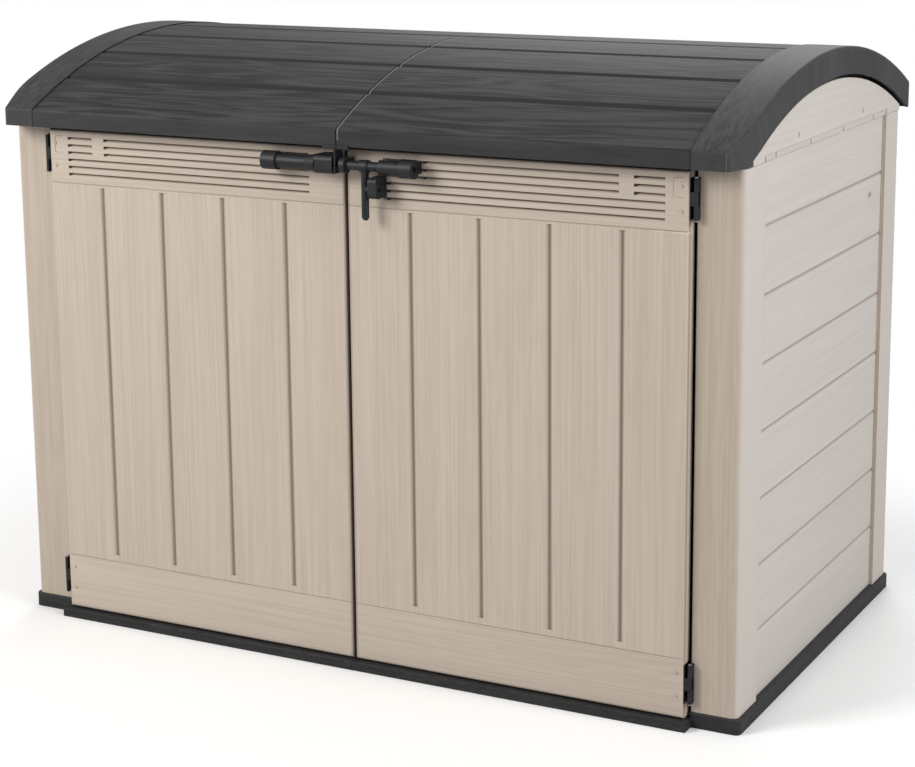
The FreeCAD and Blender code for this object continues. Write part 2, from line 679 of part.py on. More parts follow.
def slat_groove(sketch, angle):
    """Groove across the lid, its outer corners just above the surface."""
    top = "(dims.lid_radius - dims.lid_step + 1)"
    half = f"(dims.slat_groove / 2 / dims.lid_radius * 180 / 3.14159)"
    corners = []
    for turn, radius in (("-1", top), ("-0.3", "(dims.lid_radius - dims.lid_step - dims.slat_depth)"),
                         ("1", top)):
        slope = f"(({angle}) + ({turn}) * {half}) * 1 deg"
        corners.append((f"{ARC_Y} + {radius} * sin({slope})", f"{ARC_Z} + {radius} * cos({slope})"))
    closed_outline(sketch, corners)


def lid_cap():
    """End of the lid: a smooth arched band with a skirt outside the gable."""
    body = new_body("lid_cap_right")
    plan = sketch_on(body, "XY_Plane", LID_BOTTOM)
    closed_outline(plan, [
        (CAP_IN, LID_FRONT),
        (f"{END} - dims.cap_corner", LID_FRONT),
        (END, f"{LID_FRONT} + dims.cap_corner_length"),
        (END, LID_REAR),
        (CAP_IN, LID_REAR)])
    pad(body, plan, f"dims.overall_height - {LID_BOTTOM} + 10")
    above = sketch_on(body, "YZ_Plane", f"{CAP_IN} - 1")
    top = "dims.overall_height + 20"
    front, rear = f"({LID_FRONT} - 5)", f"({LID_REAR} + 5)"
    closed_outline(above, [
        (rear, (None, arc_height(rear, "dims.lid_radius")), (ARC_Y, ARC_Z, size("lid_radius"))),
        (front, (None, arc_height(front, "dims.lid_radius"))),
        (front, top),
        (rear, top)])
    pocket(body, above, "dims.cap_width + 2", backwards=True)
    fillet(body, lambda e: vertical(e) and at(e.BoundBox.XMin, END)
           and at(e.BoundBox.YMin, f"{LID_FRONT} + dims.cap_corner_length"), size("cap_curve"))
    fillet(body, lambda e: vertical(e) and e.BoundBox.ZLength > 20
           and (at(e.BoundBox.YMin, LID_FRONT) or at(e.BoundBox.YMin, LID_REAR))
           and e.BoundBox.XMin > measure(CAP_IN) + 1, size("cap_upright"))
    fillet(body, lambda e: e.BoundBox.ZMin > measure(f"{LID_BOTTOM} + 10")
           and e.BoundBox.XMax > measure(CAP_IN) + 0.1, size("cap_edge"))
    hollow(body, lambda f: flat_at(f, "X", CAP_IN) or flat_at(f, "Z", LID_BOTTOM),
           size("lid_wall"))
    below = sketch_on(body, "YZ_Plane", f"{END} - dims.lid_wall - 1")
    drop = f"({LID_BOTTOM} - 1)"
    reach = measure(f"sqrt({SKIRT_RADIUS} ^ 2 - ({drop} - {ARC_Z}) ^ 2)")
    closed_outline(below, [
        ((None, measure(ARC_Y) + reach), drop, (ARC_Y, ARC_Z, SKIRT_RADIUS)),
        ((None, measure(ARC_Y) - reach), drop)])
    pocket(body, below, "dims.lid_wall + 2", backwards=True)
    return body


node_pair(lid_panel(), "lid_panel_left")
node_pair(lid_cap(), "lid_cap_left")


def lid_ribs():
    """Two arched ribs under half of the lid."""
    ribs = []
    outer = "(dims.lid_radius - dims.lid_step - dims.lid_wall)"
    for i in range(2):
        place = f"{LID_SEAM} + ({i} + 1) * ({CAP_IN} - {LID_SEAM}) / 3"
        body = arched_bar(f"lid_rib_{i + 1}", place, outer, size("rib_height"),
                          size("rib"), size("rib_margin"))
        ribs.append(body)
    return group("lid_ribs_right", ribs)


def arched_bar(name, place, outer, height, width, margin):
    """Bar along the underside of the lid, from the front almost to the back."""
    body = new_body(name)
    sketch = sketch_on(body, "YZ_Plane", place)
    inner = f"({outer} - {height})"
    front, rear = f"({LID_FRONT} + {margin})", f"({LID_REAR} - {margin})"
    closed_outline(sketch, [
        (rear, (None, arc_height(rear, outer)), (ARC_Y, ARC_Z, outer)),
        (front, (None, arc_height(front, outer))),
        (front, (None, arc_height(front, inner)), (ARC_Y, ARC_Z, inner)),
        (rear, (None, arc_height(rear, inner)))])
    pad(body, sketch, width)
    return body


def lid_seam_strip():
    """Strip under the joint between the halves of the lid."""
    outer = "(dims.lid_radius - dims.lid_step - dims.lid_wall)"
    return arched_bar("lid_seam_strip", "-dims.seam_strip_width / 2", outer,
                      size("seam_strip_height"), size("seam_strip_width"),
                      size("seam_strip_margin"))


node_pair(lid_ribs(), "lid_ribs_left")
node(lid_seam_strip())


# --------------------------------------------------------- screws, used by many pieces
def screws(name, axis, forward, places, length):
    """Screws with their heads on the given places. forward is +1 where the shank
    points along +axis, and -1 where it points back."""
    made = []
    head = size("screw_head_height")
    index = "XYZ".index(axis)
    for i, place in enumerate(places, start=1):
        low_shank, low_head = list(place), list(place)
        if forward > 0:
            low_head[index] = f"({place[index]}) - {head}"
        else:
            low_shank[index] = f"({place[index]}) - ({length})"
        shank = cylinder(f"{name}_shank_{i}", axis, low_shank, size("screw_radius"), length)
        cap = cylinder(f"{name}_head_{i}", axis, low_head, size("screw_head"), head)
        made.append(fuse(f"{name}_{i}", [shank, cap]))
    return group(name, made)


# ------------------------------------------------------------------------- doors
HINGE_FEET = (size("door_hinge_low"), f"({WALL_TOP} - dims.door_hinge_drop)")


def hinge_screw_places():
    y = f"{DOOR_AXIS_Y} + dims.knuckle_radius"
    x = f"{DOOR_OUT} - dims.leaf_reach / 2"
    return [(x, y, f"{foot} + dims.door_hinge_height * {share}")
            for foot in HINGE_FEET for share in (0.2, 0.8)]


def door_panel():
    """Right door: planks between two rails, louvres in the upper rail, ribs behind."""
    body = new_body("door_panel_whole")
    outline = sketch_on(body, "XZ_Plane", f"-({DOOR_BACK})")
    rectangle(outline, DOOR_IN, DOOR_OUT, DOOR_BOTTOM, DOOR_TOP)
    pad(body, outline, size("door_thickness"))
    fillet(body, lambda e: at(e.BoundBox.YMin, DOOR_FACE) and at(e.BoundBox.YMax, DOOR_FACE),
           size("door_edge"))
    planks = sketch_on(body, "XY_Plane", size("plank_foot"))
    for i in range(4):
        x = f"(dims.plank_first + {i} * dims.plank_pitch)"
        closed_outline(planks, [
            (f"{x} - dims.plank_groove / 2", f"{DOOR_FACE} - 1"),
            (f"{x} + dims.plank_groove / 2", f"{DOOR_FACE} - 1"),
            (x, f"{DOOR_FACE} + dims.plank_depth")])
    pocket(body, planks, f"{PLANK_HEAD} - dims.plank_foot", backwards=True)
    rails = sketch_on(body, "YZ_Plane", DOOR_IN)
    for z in ("(dims.plank_foot - dims.rail_line_gap)", f"({PLANK_HEAD} + dims.rail_line_lift)"):
        closed_outline(rails, [
            (f"{DOOR_FACE} - 1", f"{z} - 2.5"), (f"{DOOR_FACE} + dims.rail_line", z),
            (f"{DOOR_FACE} - 1", f"{z} + 2.5")])
    pocket(body, rails, f"{DOOR_OUT} - {DOOR_IN}", backwards=True)
    louvres(body, size("vent_inner"), "dims.vent_break_place - dims.vent_inner", range(3, 6))
    louvres(body, "dims.vent_break_place + dims.vent_break",
            "dims.vent_outer - dims.vent_break_place - dims.vent_break", range(3, 6))
    louvres(body, size("vent_inner"), "dims.vent_outer - dims.vent_inner", range(3))
    cells = sketch_on(body, "XZ_Plane", f"-({DOOR_BACK})")
    ribbed_cells(cells, DOOR_IN, DOOR_OUT, DOOR_BOTTOM, DOOR_TOP, 4, 5, size("rib"))
    pocket(body, cells, "dims.door_thickness - dims.door_skin", backwards=True)
    seats = sketch_on(body, "XZ_Plane", f"-({DOOR_BACK})")
    for foot in HINGE_FEET:
        rectangle(seats, f"{DOOR_OUT} - dims.leaf_reach", f"{DOOR_OUT} + 1", foot,
                  f"{foot} + dims.door_hinge_height")
    pocket(body, seats, f"{DOOR_BACK} - ({DOOR_AXIS_Y} - dims.knuckle_radius)", backwards=True)
    return body


def louvres(body, start, length, rows):
    """Slots with a flat upper side and a sloping lower side."""
    sketch = sketch_on(body, "YZ_Plane", start)
    for row in rows:
        z = f"({WALL_TOP} - dims.vent_drop + {row} * dims.vent_pitch)"
        closed_outline(sketch, [
            (f"{DOOR_FACE} - 1", z),
            (f"{DOOR_FACE} + dims.vent_depth", f"{z} + dims.vent_slot"),
            (f"{DOOR_FACE} - 1", f"{z} + dims.vent_slot")])
    pocket(body, sketch, length, backwards=True)


def door_hinge_leaves():
    """Two leaves let into the back of the door's edge, each with the middle knuckle."""
    leaves = []
    third = "dims.door_hinge_height / 3"
    for i, foot in enumerate(HINGE_FEET, start=1):
        tag = f"door_leaf_{i}"
        low_y, high_y = f"{DOOR_AXIS_Y} - dims.knuckle_radius", f"{DOOR_AXIS_Y} + dims.knuckle_radius"
        plate = block(f"{tag}_plate", (f"{DOOR_OUT} - dims.leaf_reach", low_y, foot),
                      (DOOR_OUT, high_y, f"{foot} + dims.door_hinge_height"))
        middle = f"{foot} + {third} + dims.side_play"
        tall = f"{third} - 2 * dims.side_play"
        arm = block(f"{tag}_arm", (f"{DOOR_OUT} - dims.knuckle_radius", low_y, middle),
                    (DOOR_AXIS_X, high_y, f"{middle} + {tall}"))
        knuckle = cylinder(f"{tag}_knuckle", "Z", (DOOR_AXIS_X, DOOR_AXIS_Y, middle),
                           size("knuckle_radius"), tall)
        bore = cylinder(f"{tag}_bore", "Z", (DOOR_AXIS_X, DOOR_AXIS_Y, foot),
                        "dims.door_pin_radius + dims.pin_clearance", size("door_hinge_height"))
        leaves.append(cut(f"{tag}_bored", fuse(tag, [plate, arm, knuckle]), bore))
    return group("door_leaves_whole", leaves)


def door_hinge_brackets():
    """Two brackets on the post's face, each with an upper and a lower knuckle."""
    brackets = []
    third = "dims.door_hinge_height / 3"
    for i, foot in enumerate(HINGE_FEET, start=1):
        tag = f"door_bracket_{i}"
        pieces = [block(f"{tag}_plate", (POST_IN, f"{POST_FRONT} - dims.bracket_thick", foot),
                        (f"{POST_IN} + dims.bracket_width", POST_FRONT,
                         f"{foot} + dims.door_hinge_height"))]
        for j, start in enumerate((foot, f"{foot} + 2 * {third}")):
            low = f"({start})"
            pieces.append(block(
                f"{tag}_arm_{j}", (POST_IN, DOOR_AXIS_Y, low),
                (f"{DOOR_AXIS_X} + dims.knuckle_radius", POST_FRONT, f"{low} + {third}")))
            pieces.append(cylinder(f"{tag}_knuckle_{j}", "Z", (DOOR_AXIS_X, DOOR_AXIS_Y, low),
                                   size("knuckle_radius"), third))
        bore = cylinder(f"{tag}_bore", "Z", (DOOR_AXIS_X, DOOR_AXIS_Y, foot),
                        "dims.door_pin_radius + dims.pin_clearance", size("door_hinge_height"))
        brackets.append(cut(f"{tag}_bored", fuse(tag, pieces), bore))
    return group("door_hinge_brackets_right", brackets)


def door_hinge_pins():
    """A pin through each door hinge, with a head at each end."""
    pins = []
    for i, foot in enumerate(HINGE_FEET, start=1):
        tag = f"door_pin_{i}"
        shank = cylinder(f"{tag}_shank", "Z", (DOOR_AXIS_X, DOOR_AXIS_Y, f"{foot} - 1"),
                         size("door_pin_radius"), "dims.door_hinge_height + 2")
        heads = [cylinder(f"{tag}_head_{j}", "Z", (DOOR_AXIS_X, DOOR_AXIS_Y, z),
                          "dims.knuckle_radius - 1", size("pin_head"))
                 for j, z in enumerate((f"{foot} - dims.pin_head",
                                        f"{foot} + dims.door_hinge_height"))]
        pins.append(fuse(tag, [shank] + heads))
    return group("door_hinge_pins_right", pins)


def drilled(name, base, screw_group):
    """The piece with holes where its screws go."""
    return cut(name, base, screw_group)


DOOR_SCREWS = screws("door_hinge_screws_right", "Y", -1, hinge_screw_places(),
                     "2 * dims.knuckle_radius + 5")
LEAVES = drilled("door_hinge_leaves_right", door_hinge_leaves(), DOOR_SCREWS)
RIGHT_DOOR = drilled("right_door_hinged", door_panel(), DOOR_SCREWS)
LEFT_DOOR = mirrored("left_door_hinged", RIGHT_DOOR)
node_pair(LEAVES, "door_hinge_leaves_left")
node_pair(DOOR_SCREWS, "door_hinge_screws_left")
node_pair(door_hinge_brackets(), "door_hinge_brackets_left")
node_pair(door_hinge_pins(), "door_hinge_pins_left")


# -------------------------------------------------------------------- lid hinges
LID_HINGES = tuple(f"({sign} * dims.lid_hinge_{where})"
                   for where in ("outer", "inner") for sign in (-1, 1))
LID_KNUCKLE = "(dims.lid_hinge_width * 0.26)"


def lid_hinge_brackets():
    """Four brackets on the back rail, each with two knuckles."""
    brackets = []
    for i, x in enumerate(LID_HINGES, start=1):
        tag = f"lid_bracket_{i}"
        left, right = f"({x} - dims.lid_hinge_width / 2)", f"({x} + dims.lid_hinge_width / 2)"
        pieces = [block(f"{tag}_plate", (left, POST_REAR, f"{LID_AXIS_Z} - dims.lid_bracket_height"),
                        (right, f"{POST_REAR} + dims.lid_leaf_thick", LID_AXIS_Z))]
        for j, start in enumerate((left, f"({right} - {LID_KNUCKLE})")):
            pieces.append(block(
                f"{tag}_arm_{j}", (start, POST_REAR, f"{LID_AXIS_Z} - dims.lid_knuckle_radius"),
                (f"{start} + {LID_KNUCKLE}", LID_AXIS_Y, LID_AXIS_Z)))
            pieces.append(cylinder(f"{tag}_knuckle_{j}", "X", (start, LID_AXIS_Y, LID_AXIS_Z),
                                   size("lid_knuckle_radius"), LID_KNUCKLE))
        bore = cylinder(f"{tag}_bore", "X", (left, LID_AXIS_Y, LID_AXIS_Z),
                        "dims.lid_pin_radius + dims.pin_clearance", size("lid_hinge_width"))
        brackets.append(cut(f"{tag}_bored", fuse(tag, pieces), bore))
    return group("lid_hinge_brackets", brackets)


def lid_hinge_leaves():
    """Four leaves on the inside of the lid's rear skirt, each with a middle knuckle."""
    leaves = []
    skirt = f"({LID_REAR} - dims.lid_wall)"
    for i, x in enumerate(LID_HINGES, start=1):
        tag = f"lid_leaf_{i}"
        left, right = f"({x} - dims.lid_hinge_width / 2)", f"({x} + dims.lid_hinge_width / 2)"
        start = f"({left} + {LID_KNUCKLE} + dims.side_play)"
        wide = f"(dims.lid_hinge_width - 2 * {LID_KNUCKLE} - 2 * dims.side_play)"
        plate = block(f"{tag}_plate", (left, f"{skirt} - dims.lid_leaf_thick", LID_AXIS_Z),
                      (right, skirt, f"{LID_AXIS_Z} + dims.lid_leaf_height"))
        arm = block(f"{tag}_arm", (start, LID_AXIS_Y, LID_AXIS_Z),
                    (f"{start} + {wide}", f"{skirt} - dims.lid_leaf_thick / 2",
                     f"{LID_AXIS_Z} + dims.lid_knuckle_radius"))
        knuckle = cylinder(f"{tag}_knuckle", "X", (start, LID_AXIS_Y, LID_AXIS_Z),
                           size("lid_knuckle_radius"), wide)
        bore = cylinder(f"{tag}_bore", "X", (left, LID_AXIS_Y, LID_AXIS_Z),
                        "dims.lid_pin_radius + dims.pin_clearance", size("lid_hinge_width"))
        leaves.append(cut(f"{tag}_bored", fuse(tag, [plate, arm, knuckle]), bore))
    return group("lid_hinge_leaves", leaves)


def lid_hinge_pins():
    """A pin through each lid hinge, with a head at each end."""
    pins = []
    for i, x in enumerate(LID_HINGES, start=1):
        tag = f"lid_pin_{i}"
        left, right = f"({x} - dims.lid_hinge_width / 2)", f"({x} + dims.lid_hinge_width / 2)"
        shank = cylinder(f"{tag}_shank", "X", (f"{left} - 1", LID_AXIS_Y, LID_AXIS_Z),
                         size("lid_pin_radius"), "dims.lid_hinge_width + 2")
        heads = [cylinder(f"{tag}_head_{j}", "X", (place, LID_AXIS_Y, LID_AXIS_Z),
                          "dims.lid_pin_radius + 2", size("pin_head"))
                 for j, place in enumerate((f"{left} - dims.pin_head", right))]
        pins.append(fuse(tag, [shank] + heads))
    return group("lid_hinge_pins", pins)


node(lid_hinge_brackets())
node(lid_hinge_leaves())
node(lid_hinge_pins())


# ------------------------------------------------- strips and screws of the back
def rail_screw_places():
    """Three screws on each side of the middle, into the ribs of the back wall."""
    wide = f"(({WALL_IN} - {SEAM} - dims.rib) / 4)"
    z = f"{WALL_TOP} - dims.rail_height + 15"
    return [(f"{SEAM} + {i} * {wide} + dims.rib / 2", POST_REAR, z) for i in (1, 2, 3)]


RAIL_SCREWS_RIGHT = screws("rail_screws_right", "Y", -1, rail_screw_places(),
                           "dims.post_wall + 12")
RAIL_SCREWS_LEFT = mirrored("rail_screws_left", RAIL_SCREWS_RIGHT)
node(RAIL_SCREWS_RIGHT)
node(RAIL_SCREWS_LEFT)
node_pair(drilled("back_wall_right", back_wall(), RAIL_SCREWS_RIGHT), "back_wall_left")
node(drilled("back_rail", drilled("back_rail_half", back_rail(), RAIL_SCREWS_RIGHT),
             RAIL_SCREWS_LEFT))


def seam_strips():
    """Flat strips that cover the joint of the floor and the joint of the back wall."""
    behind_doors = f"{DOOR_BACK} + dims.door_clearance"
    floor = block("floor_joiner", ("-dims.floor_strip_half", behind_doors, size("floor_height")),
                  (size("floor_strip_half"), f"{WALL_REAR} - dims.wall_thickness",
                   "dims.floor_height + dims.floor_strip_thick"))
    back = block("back_joiner", ("-dims.back_strip_half", WALL_REAR, size("floor_height")),
                 (size("back_strip_half"), f"{WALL_REAR} + dims.back_strip_thick",
                  f"{WALL_TOP} - dims.rail_height"))
    floor.Label, back.Label = "floor_joiner", "back_joiner"
    return floor, back


for strip in seam_strips():
    node(strip)


# ------------------------------------------------------------ bolt between the doors
BARREL_END = "(dims.bolt_tip + dims.bolt_length + dims.barrel_beyond)"
BARREL_START = f"({BARREL_END} - dims.barrel_length)"
LUG_Z = f"({BOLT_Z} - dims.lug_drop)"
LUG_START = "(dims.lever_place + dims.lever_radius + dims.lug_gap)"
KEEPER_FAR = "(-dims.keeper_near - dims.keeper_length)"
GRIP_FAR = f"({KEEPER_FAR} - dims.grip_length)"


def along_bolt(name, start, radius, length):
    return cylinder(name, "X", (start, BOLT_Y, BOLT_Z), radius, length)


def foot_on_door(name, start, end):
    """Foot of a latch piece, from the bolt's axis to the door's face."""
    return block(name, (start, BOLT_Y, f"{BOLT_Z} - dims.latch_foot"),
                 (end, DOOR_FACE, f"{BOLT_Z} + dims.latch_foot"))


def latch_screws(name, places):
    """Screws from behind the door's skin into the feet of the latch; a place is (x, z)."""
    back = f"{DOOR_FACE} + dims.door_skin"
    return screws(name, "Y", -1, [(x, back, z) for x, z in places],
                  "dims.door_skin + dims.latch_foot")


def bolt_housing():
    """Barrel with a thicker collar on its end, on a foot that is screwed to the door."""
    foot = foot_on_door("housing_foot", BARREL_START, BARREL_END)
    barrel = along_bolt("housing_barrel", BARREL_START, size("barrel_radius"), size("barrel_length"))
    collar = along_bolt("housing_collar", f"{BARREL_END} - dims.collar_length",
                        size("collar_radius"), size("collar_length"))
    bore = along_bolt("housing_bore", f"{BARREL_START} - 1", "dims.bolt_radius + dims.pin_clearance",
                      "dims.barrel_length - dims.collar_length / 2")
    end_hole = along_bolt("housing_end_hole", BARREL_START, size("end_hole"),
                          "dims.barrel_length + 1")
    return cut("housing_open", fuse("housing_solid", [foot, barrel, collar]),
               fuse("housing_holes", [bore, end_hole]))


def bolt_guide():
    """Ring that guides the bolt's tip at the edge of the right door."""
    start = "(dims.bolt_tip + 1)"
    foot = foot_on_door("guide_foot", start, f"{start} + dims.guide_length")
    ring = along_bolt("guide_ring", start, "dims.bolt_radius + dims.guide_wall", size("guide_length"))
    bore = along_bolt("guide_bore", f"{start} - 1", "dims.bolt_radius + dims.pin_clearance",
                      "dims.guide_length + 2")
    return cut("guide_open", fuse("guide_solid", [foot, ring]), bore)


def padlock_lug():
    """Lug beside the lever, with an eye along the bolt for a padlock."""
    body = new_body("padlock_lug_whole")
    nose = f"({BOLT_Y} - dims.lug_nose)"
    side = sketch_on(body, "YZ_Plane", LUG_START)
    rectangle(side, nose, DOOR_FACE, f"{LUG_Z} - dims.lug_below", f"{LUG_Z} + dims.lug_above")
    pad(body, side, size("lug_length"))
    fillet(body, lambda e: along_x(e) and at(e.BoundBox.YMin, nose), size("lug_round"))
    eye = sketch_on(body, "YZ_Plane", LUG_START)
    circle(eye, BOLT_Y, LUG_Z, size("hasp_radius"))
    pocket(body, eye, "dims.lug_length + 1", backwards=True)
    return body


def bolt_rod():
    """Round bolt with two collars that hold the lever's hub."""
    shaft = along_bolt("rod_shaft", size("bolt_tip"), size("bolt_radius"), size("bolt_length"))
    half = "(dims.lever_radius + dims.side_play)"
    places = (f"dims.lever_place - {half} - dims.rod_collar", f"dims.lever_place + {half}")
    collars = [along_bolt(f"rod_collar_{i}", place, "dims.bolt_radius + dims.hub_wall - 1",
                          size("rod_collar")) for i, place in enumerate(places)]
    return fuse("bolt_rod", [shaft] + collars)


def bolt_lever():
    """Lever that hangs from a hub on the bolt, with an eye beside the padlock lug."""
    left = "(dims.lever_place - dims.lever_radius)"
    hub = along_bolt("lever_hub", left, "dims.bolt_radius + dims.hub_wall",
                     "2 * dims.lever_radius")
    end = f"({BOLT_Z} - dims.lever_length)"
    stem_radius = "(dims.lever_radius - dims.hub_lip)"
    stem = cylinder("lever_stem", "Z", (size("lever_place"), BOLT_Y, f"{end} + dims.lever_tip"),
                    stem_radius, "dims.lever_length - dims.lever_tip")
    tip = doc.addObject("Part::Cone", "lever_tip")
    tip.setExpression("Radius1", "dims.lever_radius / 2")
    tip.setExpression("Radius2", stem_radius)
    tip.setExpression("Height", size("lever_tip"))
    move(tip, (size("lever_place"), BOLT_Y, end))
    boss = cylinder("lever_boss", "X", (size("lever_place"), BOLT_Y, LUG_Z),
                    "dims.hasp_radius + dims.hasp_wall",
                    "dims.lever_radius + dims.lug_gap - dims.boss_gap")
    bore = along_bolt("lever_bore", f"{left} - 1", "dims.bolt_radius + dims.pin_clearance",
                      "2 * dims.lever_radius + 2")
    eye = cylinder("lever_eye", "X", (f"{left} - 1", BOLT_Y, LUG_Z), size("hasp_radius"),
                   "2 * dims.lever_radius + dims.lug_gap + 2")
    return cut("bolt_lever", fuse("lever_solid", [hub, stem, tip, boss]),
               fuse("lever_holes", [bore, eye]))


def bolt_keeper():
    """Socket on the left door that the bolt's tip enters."""
    body = new_body("keeper_whole")
    nose = f"({BOLT_Y} - dims.keeper_nose)"
    side = sketch_on(body, "YZ_Plane", KEEPER_FAR)
    rectangle(side, nose, DOOR_FACE, f"{BOLT_Z} - dims.keeper_half",
              f"{BOLT_Z} + dims.keeper_half")
    pad(body, side, size("keeper_length"))
    fillet(body, lambda e: along_x(e) and at(e.BoundBox.YMin, nose), size("keeper_round"))
    socket = sketch_on(body, "YZ_Plane", "-dims.keeper_near")
    circle(socket, BOLT_Y, BOLT_Z, "dims.bolt_radius + dims.socket_clearance")
    pocket(body, socket, "dims.keeper_length - dims.keeper_end")
    return body


def door_grip():
    """Round grip with a raised rest at its far end and a flare into the keeper."""
    bar = along_bolt("grip_bar", GRIP_FAR, size("barrel_radius"), size("grip_length"))
    rest = along_bolt("grip_rest", GRIP_FAR, "dims.barrel_radius + dims.rest_rise",
                      size("rest_length"))
    foot = foot_on_door("grip_foot", GRIP_FAR, KEEPER_FAR)
    flare = doc.addObject("Part::Cone", "grip_flare")
    flare.setExpression("Radius1", size("barrel_radius"))
    flare.setExpression("Radius2", size("keeper_half"))
    flare.setExpression("Height", size("flare_length"))
    flare.Placement = FreeCAD.Placement(
        FreeCAD.Vector(), FreeCAD.Rotation(FreeCAD.Vector(0, 1, 0), 90))
    move(flare, (f"{KEEPER_FAR} - dims.flare_length", BOLT_Y, BOLT_Z))
    return fuse("grip_whole", [bar, rest, foot, flare])


def lid_catch():
    """Plate under the middle of the lid, with a thin tongue that hangs in front of the
    gap between the doors and has a hole for the bolt."""
    inside = f"({LID_FRONT} + dims.lid_wall)"
    low, half = f"({LID_BOTTOM} - dims.catch_plate)", size("catch_half")
    plate = block("catch_plate", (f"-{half}", f"{LID_FRONT} - dims.catch_plate", low),
                  (half, f"{inside} + dims.catch_plate", LID_BOTTOM))
    lip = block("catch_lip", (f"-{half}", f"{LID_FRONT} - dims.catch_plate", low),
                (half, LID_FRONT, f"{LID_BOTTOM} + dims.catch_thick"))
    upstand = block("catch_upstand", (f"-{half}", inside, low),
                    (half, f"{inside} + dims.catch_plate", f"{LID_BOTTOM} + dims.catch_upstand"))
    eye_half = "dims.catch_eye_half"
    tongue = block("catch_tongue",
                   ("-dims.catch_thick / 2", f"{BOLT_Y} - {eye_half}", f"{BOLT_Z} - {eye_half}"),
                   ("dims.catch_thick / 2", f"{BOLT_Y} + {eye_half}", LID_BOTTOM))
    hole = along_bolt("catch_hole", "-dims.catch_thick", "dims.bolt_radius + dims.socket_clearance",
                      "2 * dims.catch_thick")
    return cut("lid_catch", fuse("catch_solid", [plate, lip, upstand, tongue]), hole)


RIGHT_LATCH_SCREWS = latch_screws("latch_screws_right", [
    ("dims.bolt_tip + 1 + dims.guide_length / 2", BOLT_Z),
    (f"{LUG_START} + dims.lug_length / 2", LUG_Z),
    (f"{BARREL_START} + 10", BOLT_Z), (f"{BARREL_END} - 20", BOLT_Z)])
LEFT_LATCH_SCREWS = latch_screws("latch_screws_left", [
    (f"{KEEPER_FAR} + dims.keeper_length / 2", BOLT_Z),
    (f"{KEEPER_FAR} - 20", BOLT_Z), (f"{GRIP_FAR} + 20", BOLT_Z)])
node(RIGHT_LATCH_SCREWS)
node(LEFT_LATCH_SCREWS)
node(drilled("bolt_housing", bolt_housing(), RIGHT_LATCH_SCREWS))
node(drilled("bolt_guide", bolt_guide(), RIGHT_LATCH_SCREWS))
node(drilled("padlock_lug", padlock_lug(), RIGHT_LATCH_SCREWS))
node(bolt_rod())
node(bolt_lever())
node(drilled("bolt_keeper", bolt_keeper(), LEFT_LATCH_SCREWS))
node(drilled("door_grip", door_grip(), LEFT_LATCH_SCREWS))
node(lid_catch())
node(drilled("door_panel_right", RIGHT_DOOR, RIGHT_LATCH_SCREWS))
node(drilled("door_panel_left", LEFT_DOOR, LEFT_LATCH_SCREWS))


# -------------------------------------------------------------------- gas struts
STRUT_RUN = measure(f"{size('strut_head_y')} - {size('strut_foot_y')}")
STRUT_RISE = measure(f"{STRUT_HEAD_Z} - {STRUT_FOOT_Z}")
STRUT_LENGTH = math.hypot(STRUT_RUN, STRUT_RISE)
STRUT_LEAN = math.degrees(math.atan2(STRUT_RUN, STRUT_RISE))


def strut_piece(name, start, radius, length):
    """Cylinder on the strut's axis, start millimetres from its lower pivot."""
    item = doc.addObject("Part::Cylinder", name)
    item.setExpression("Radius", str(radius))
    item.setExpression("Height", str(length))
    item.Placement = FreeCAD.Placement(
        FreeCAD.Vector(), FreeCAD.Rotation(FreeCAD.Vector(1, 0, 0), -STRUT_LEAN))
    lean = math.radians(STRUT_LEAN)
    move(item, (STRUT_X, f"dims.strut_foot_y + ({start}) * {math.sin(lean)}",
                f"{STRUT_FOOT_Z} + ({start}) * {math.cos(lean)}"))
    return item


def strut_eye(name, y, z, radius, margin=0):
    """Disc across the strut's axis, for an eye or, with a margin, for its bore."""
    half = f"(dims.strut_eye_width / 2 + {margin})"
    return cylinder(name, "X", (f"{STRUT_X} - {half}", y, z), radius, f"2 * {half}")


def strut_cylinder():
    """Hollow cylinder with an eye at its foot and a gland at its head."""
    foot = (size("strut_foot_y"), STRUT_FOOT_Z)
    eye = strut_eye("strut_cylinder_eye", *foot, size("strut_foot_eye"))
    tube = strut_piece("strut_tube", "dims.strut_tube_start", size("strut_radius"),
                       "dims.strut_cylinder_length - dims.strut_tube_start")
    hollow_part = strut_piece(
        "strut_hollow", "dims.strut_hollow_start", "dims.strut_radius - dims.strut_tube_wall",
        "dims.strut_cylinder_length - dims.strut_hollow_start - dims.strut_gland")
    gland = strut_piece("strut_gland_hole", "dims.strut_cylinder_length - dims.strut_gland - 1",
                        "dims.strut_rod_radius + dims.pin_clearance", "dims.strut_gland + 2")
    bore = strut_eye("strut_foot_bore", *foot, "dims.strut_pin_radius + dims.pin_clearance", 1)
    return cut("strut_cylinder_right", fuse("strut_cylinder_solid", [eye, tube]),
               fuse("strut_cylinder_holes", [hollow_part, gland, bore]))


def strut_rod():
    """Rod with a piston inside the cylinder and a closed end cap beside the lid's bracket."""
    eye = strut_eye("strut_rod_eye", size("strut_head_y"), STRUT_HEAD_Z, size("strut_head_eye"))
    rod = strut_piece("strut_rod_shaft", "dims.strut_piston_start", size("strut_rod_radius"),
                      f"{STRUT_LENGTH} - dims.strut_piston_start - dims.strut_rod_short")
    piston = strut_piece("strut_piston", "dims.strut_piston_start",
                         "dims.strut_radius - dims.strut_tube_wall - dims.pin_clearance",
                         size("strut_piston"))
    return fuse("strut_rod_right", [eye, rod, piston])


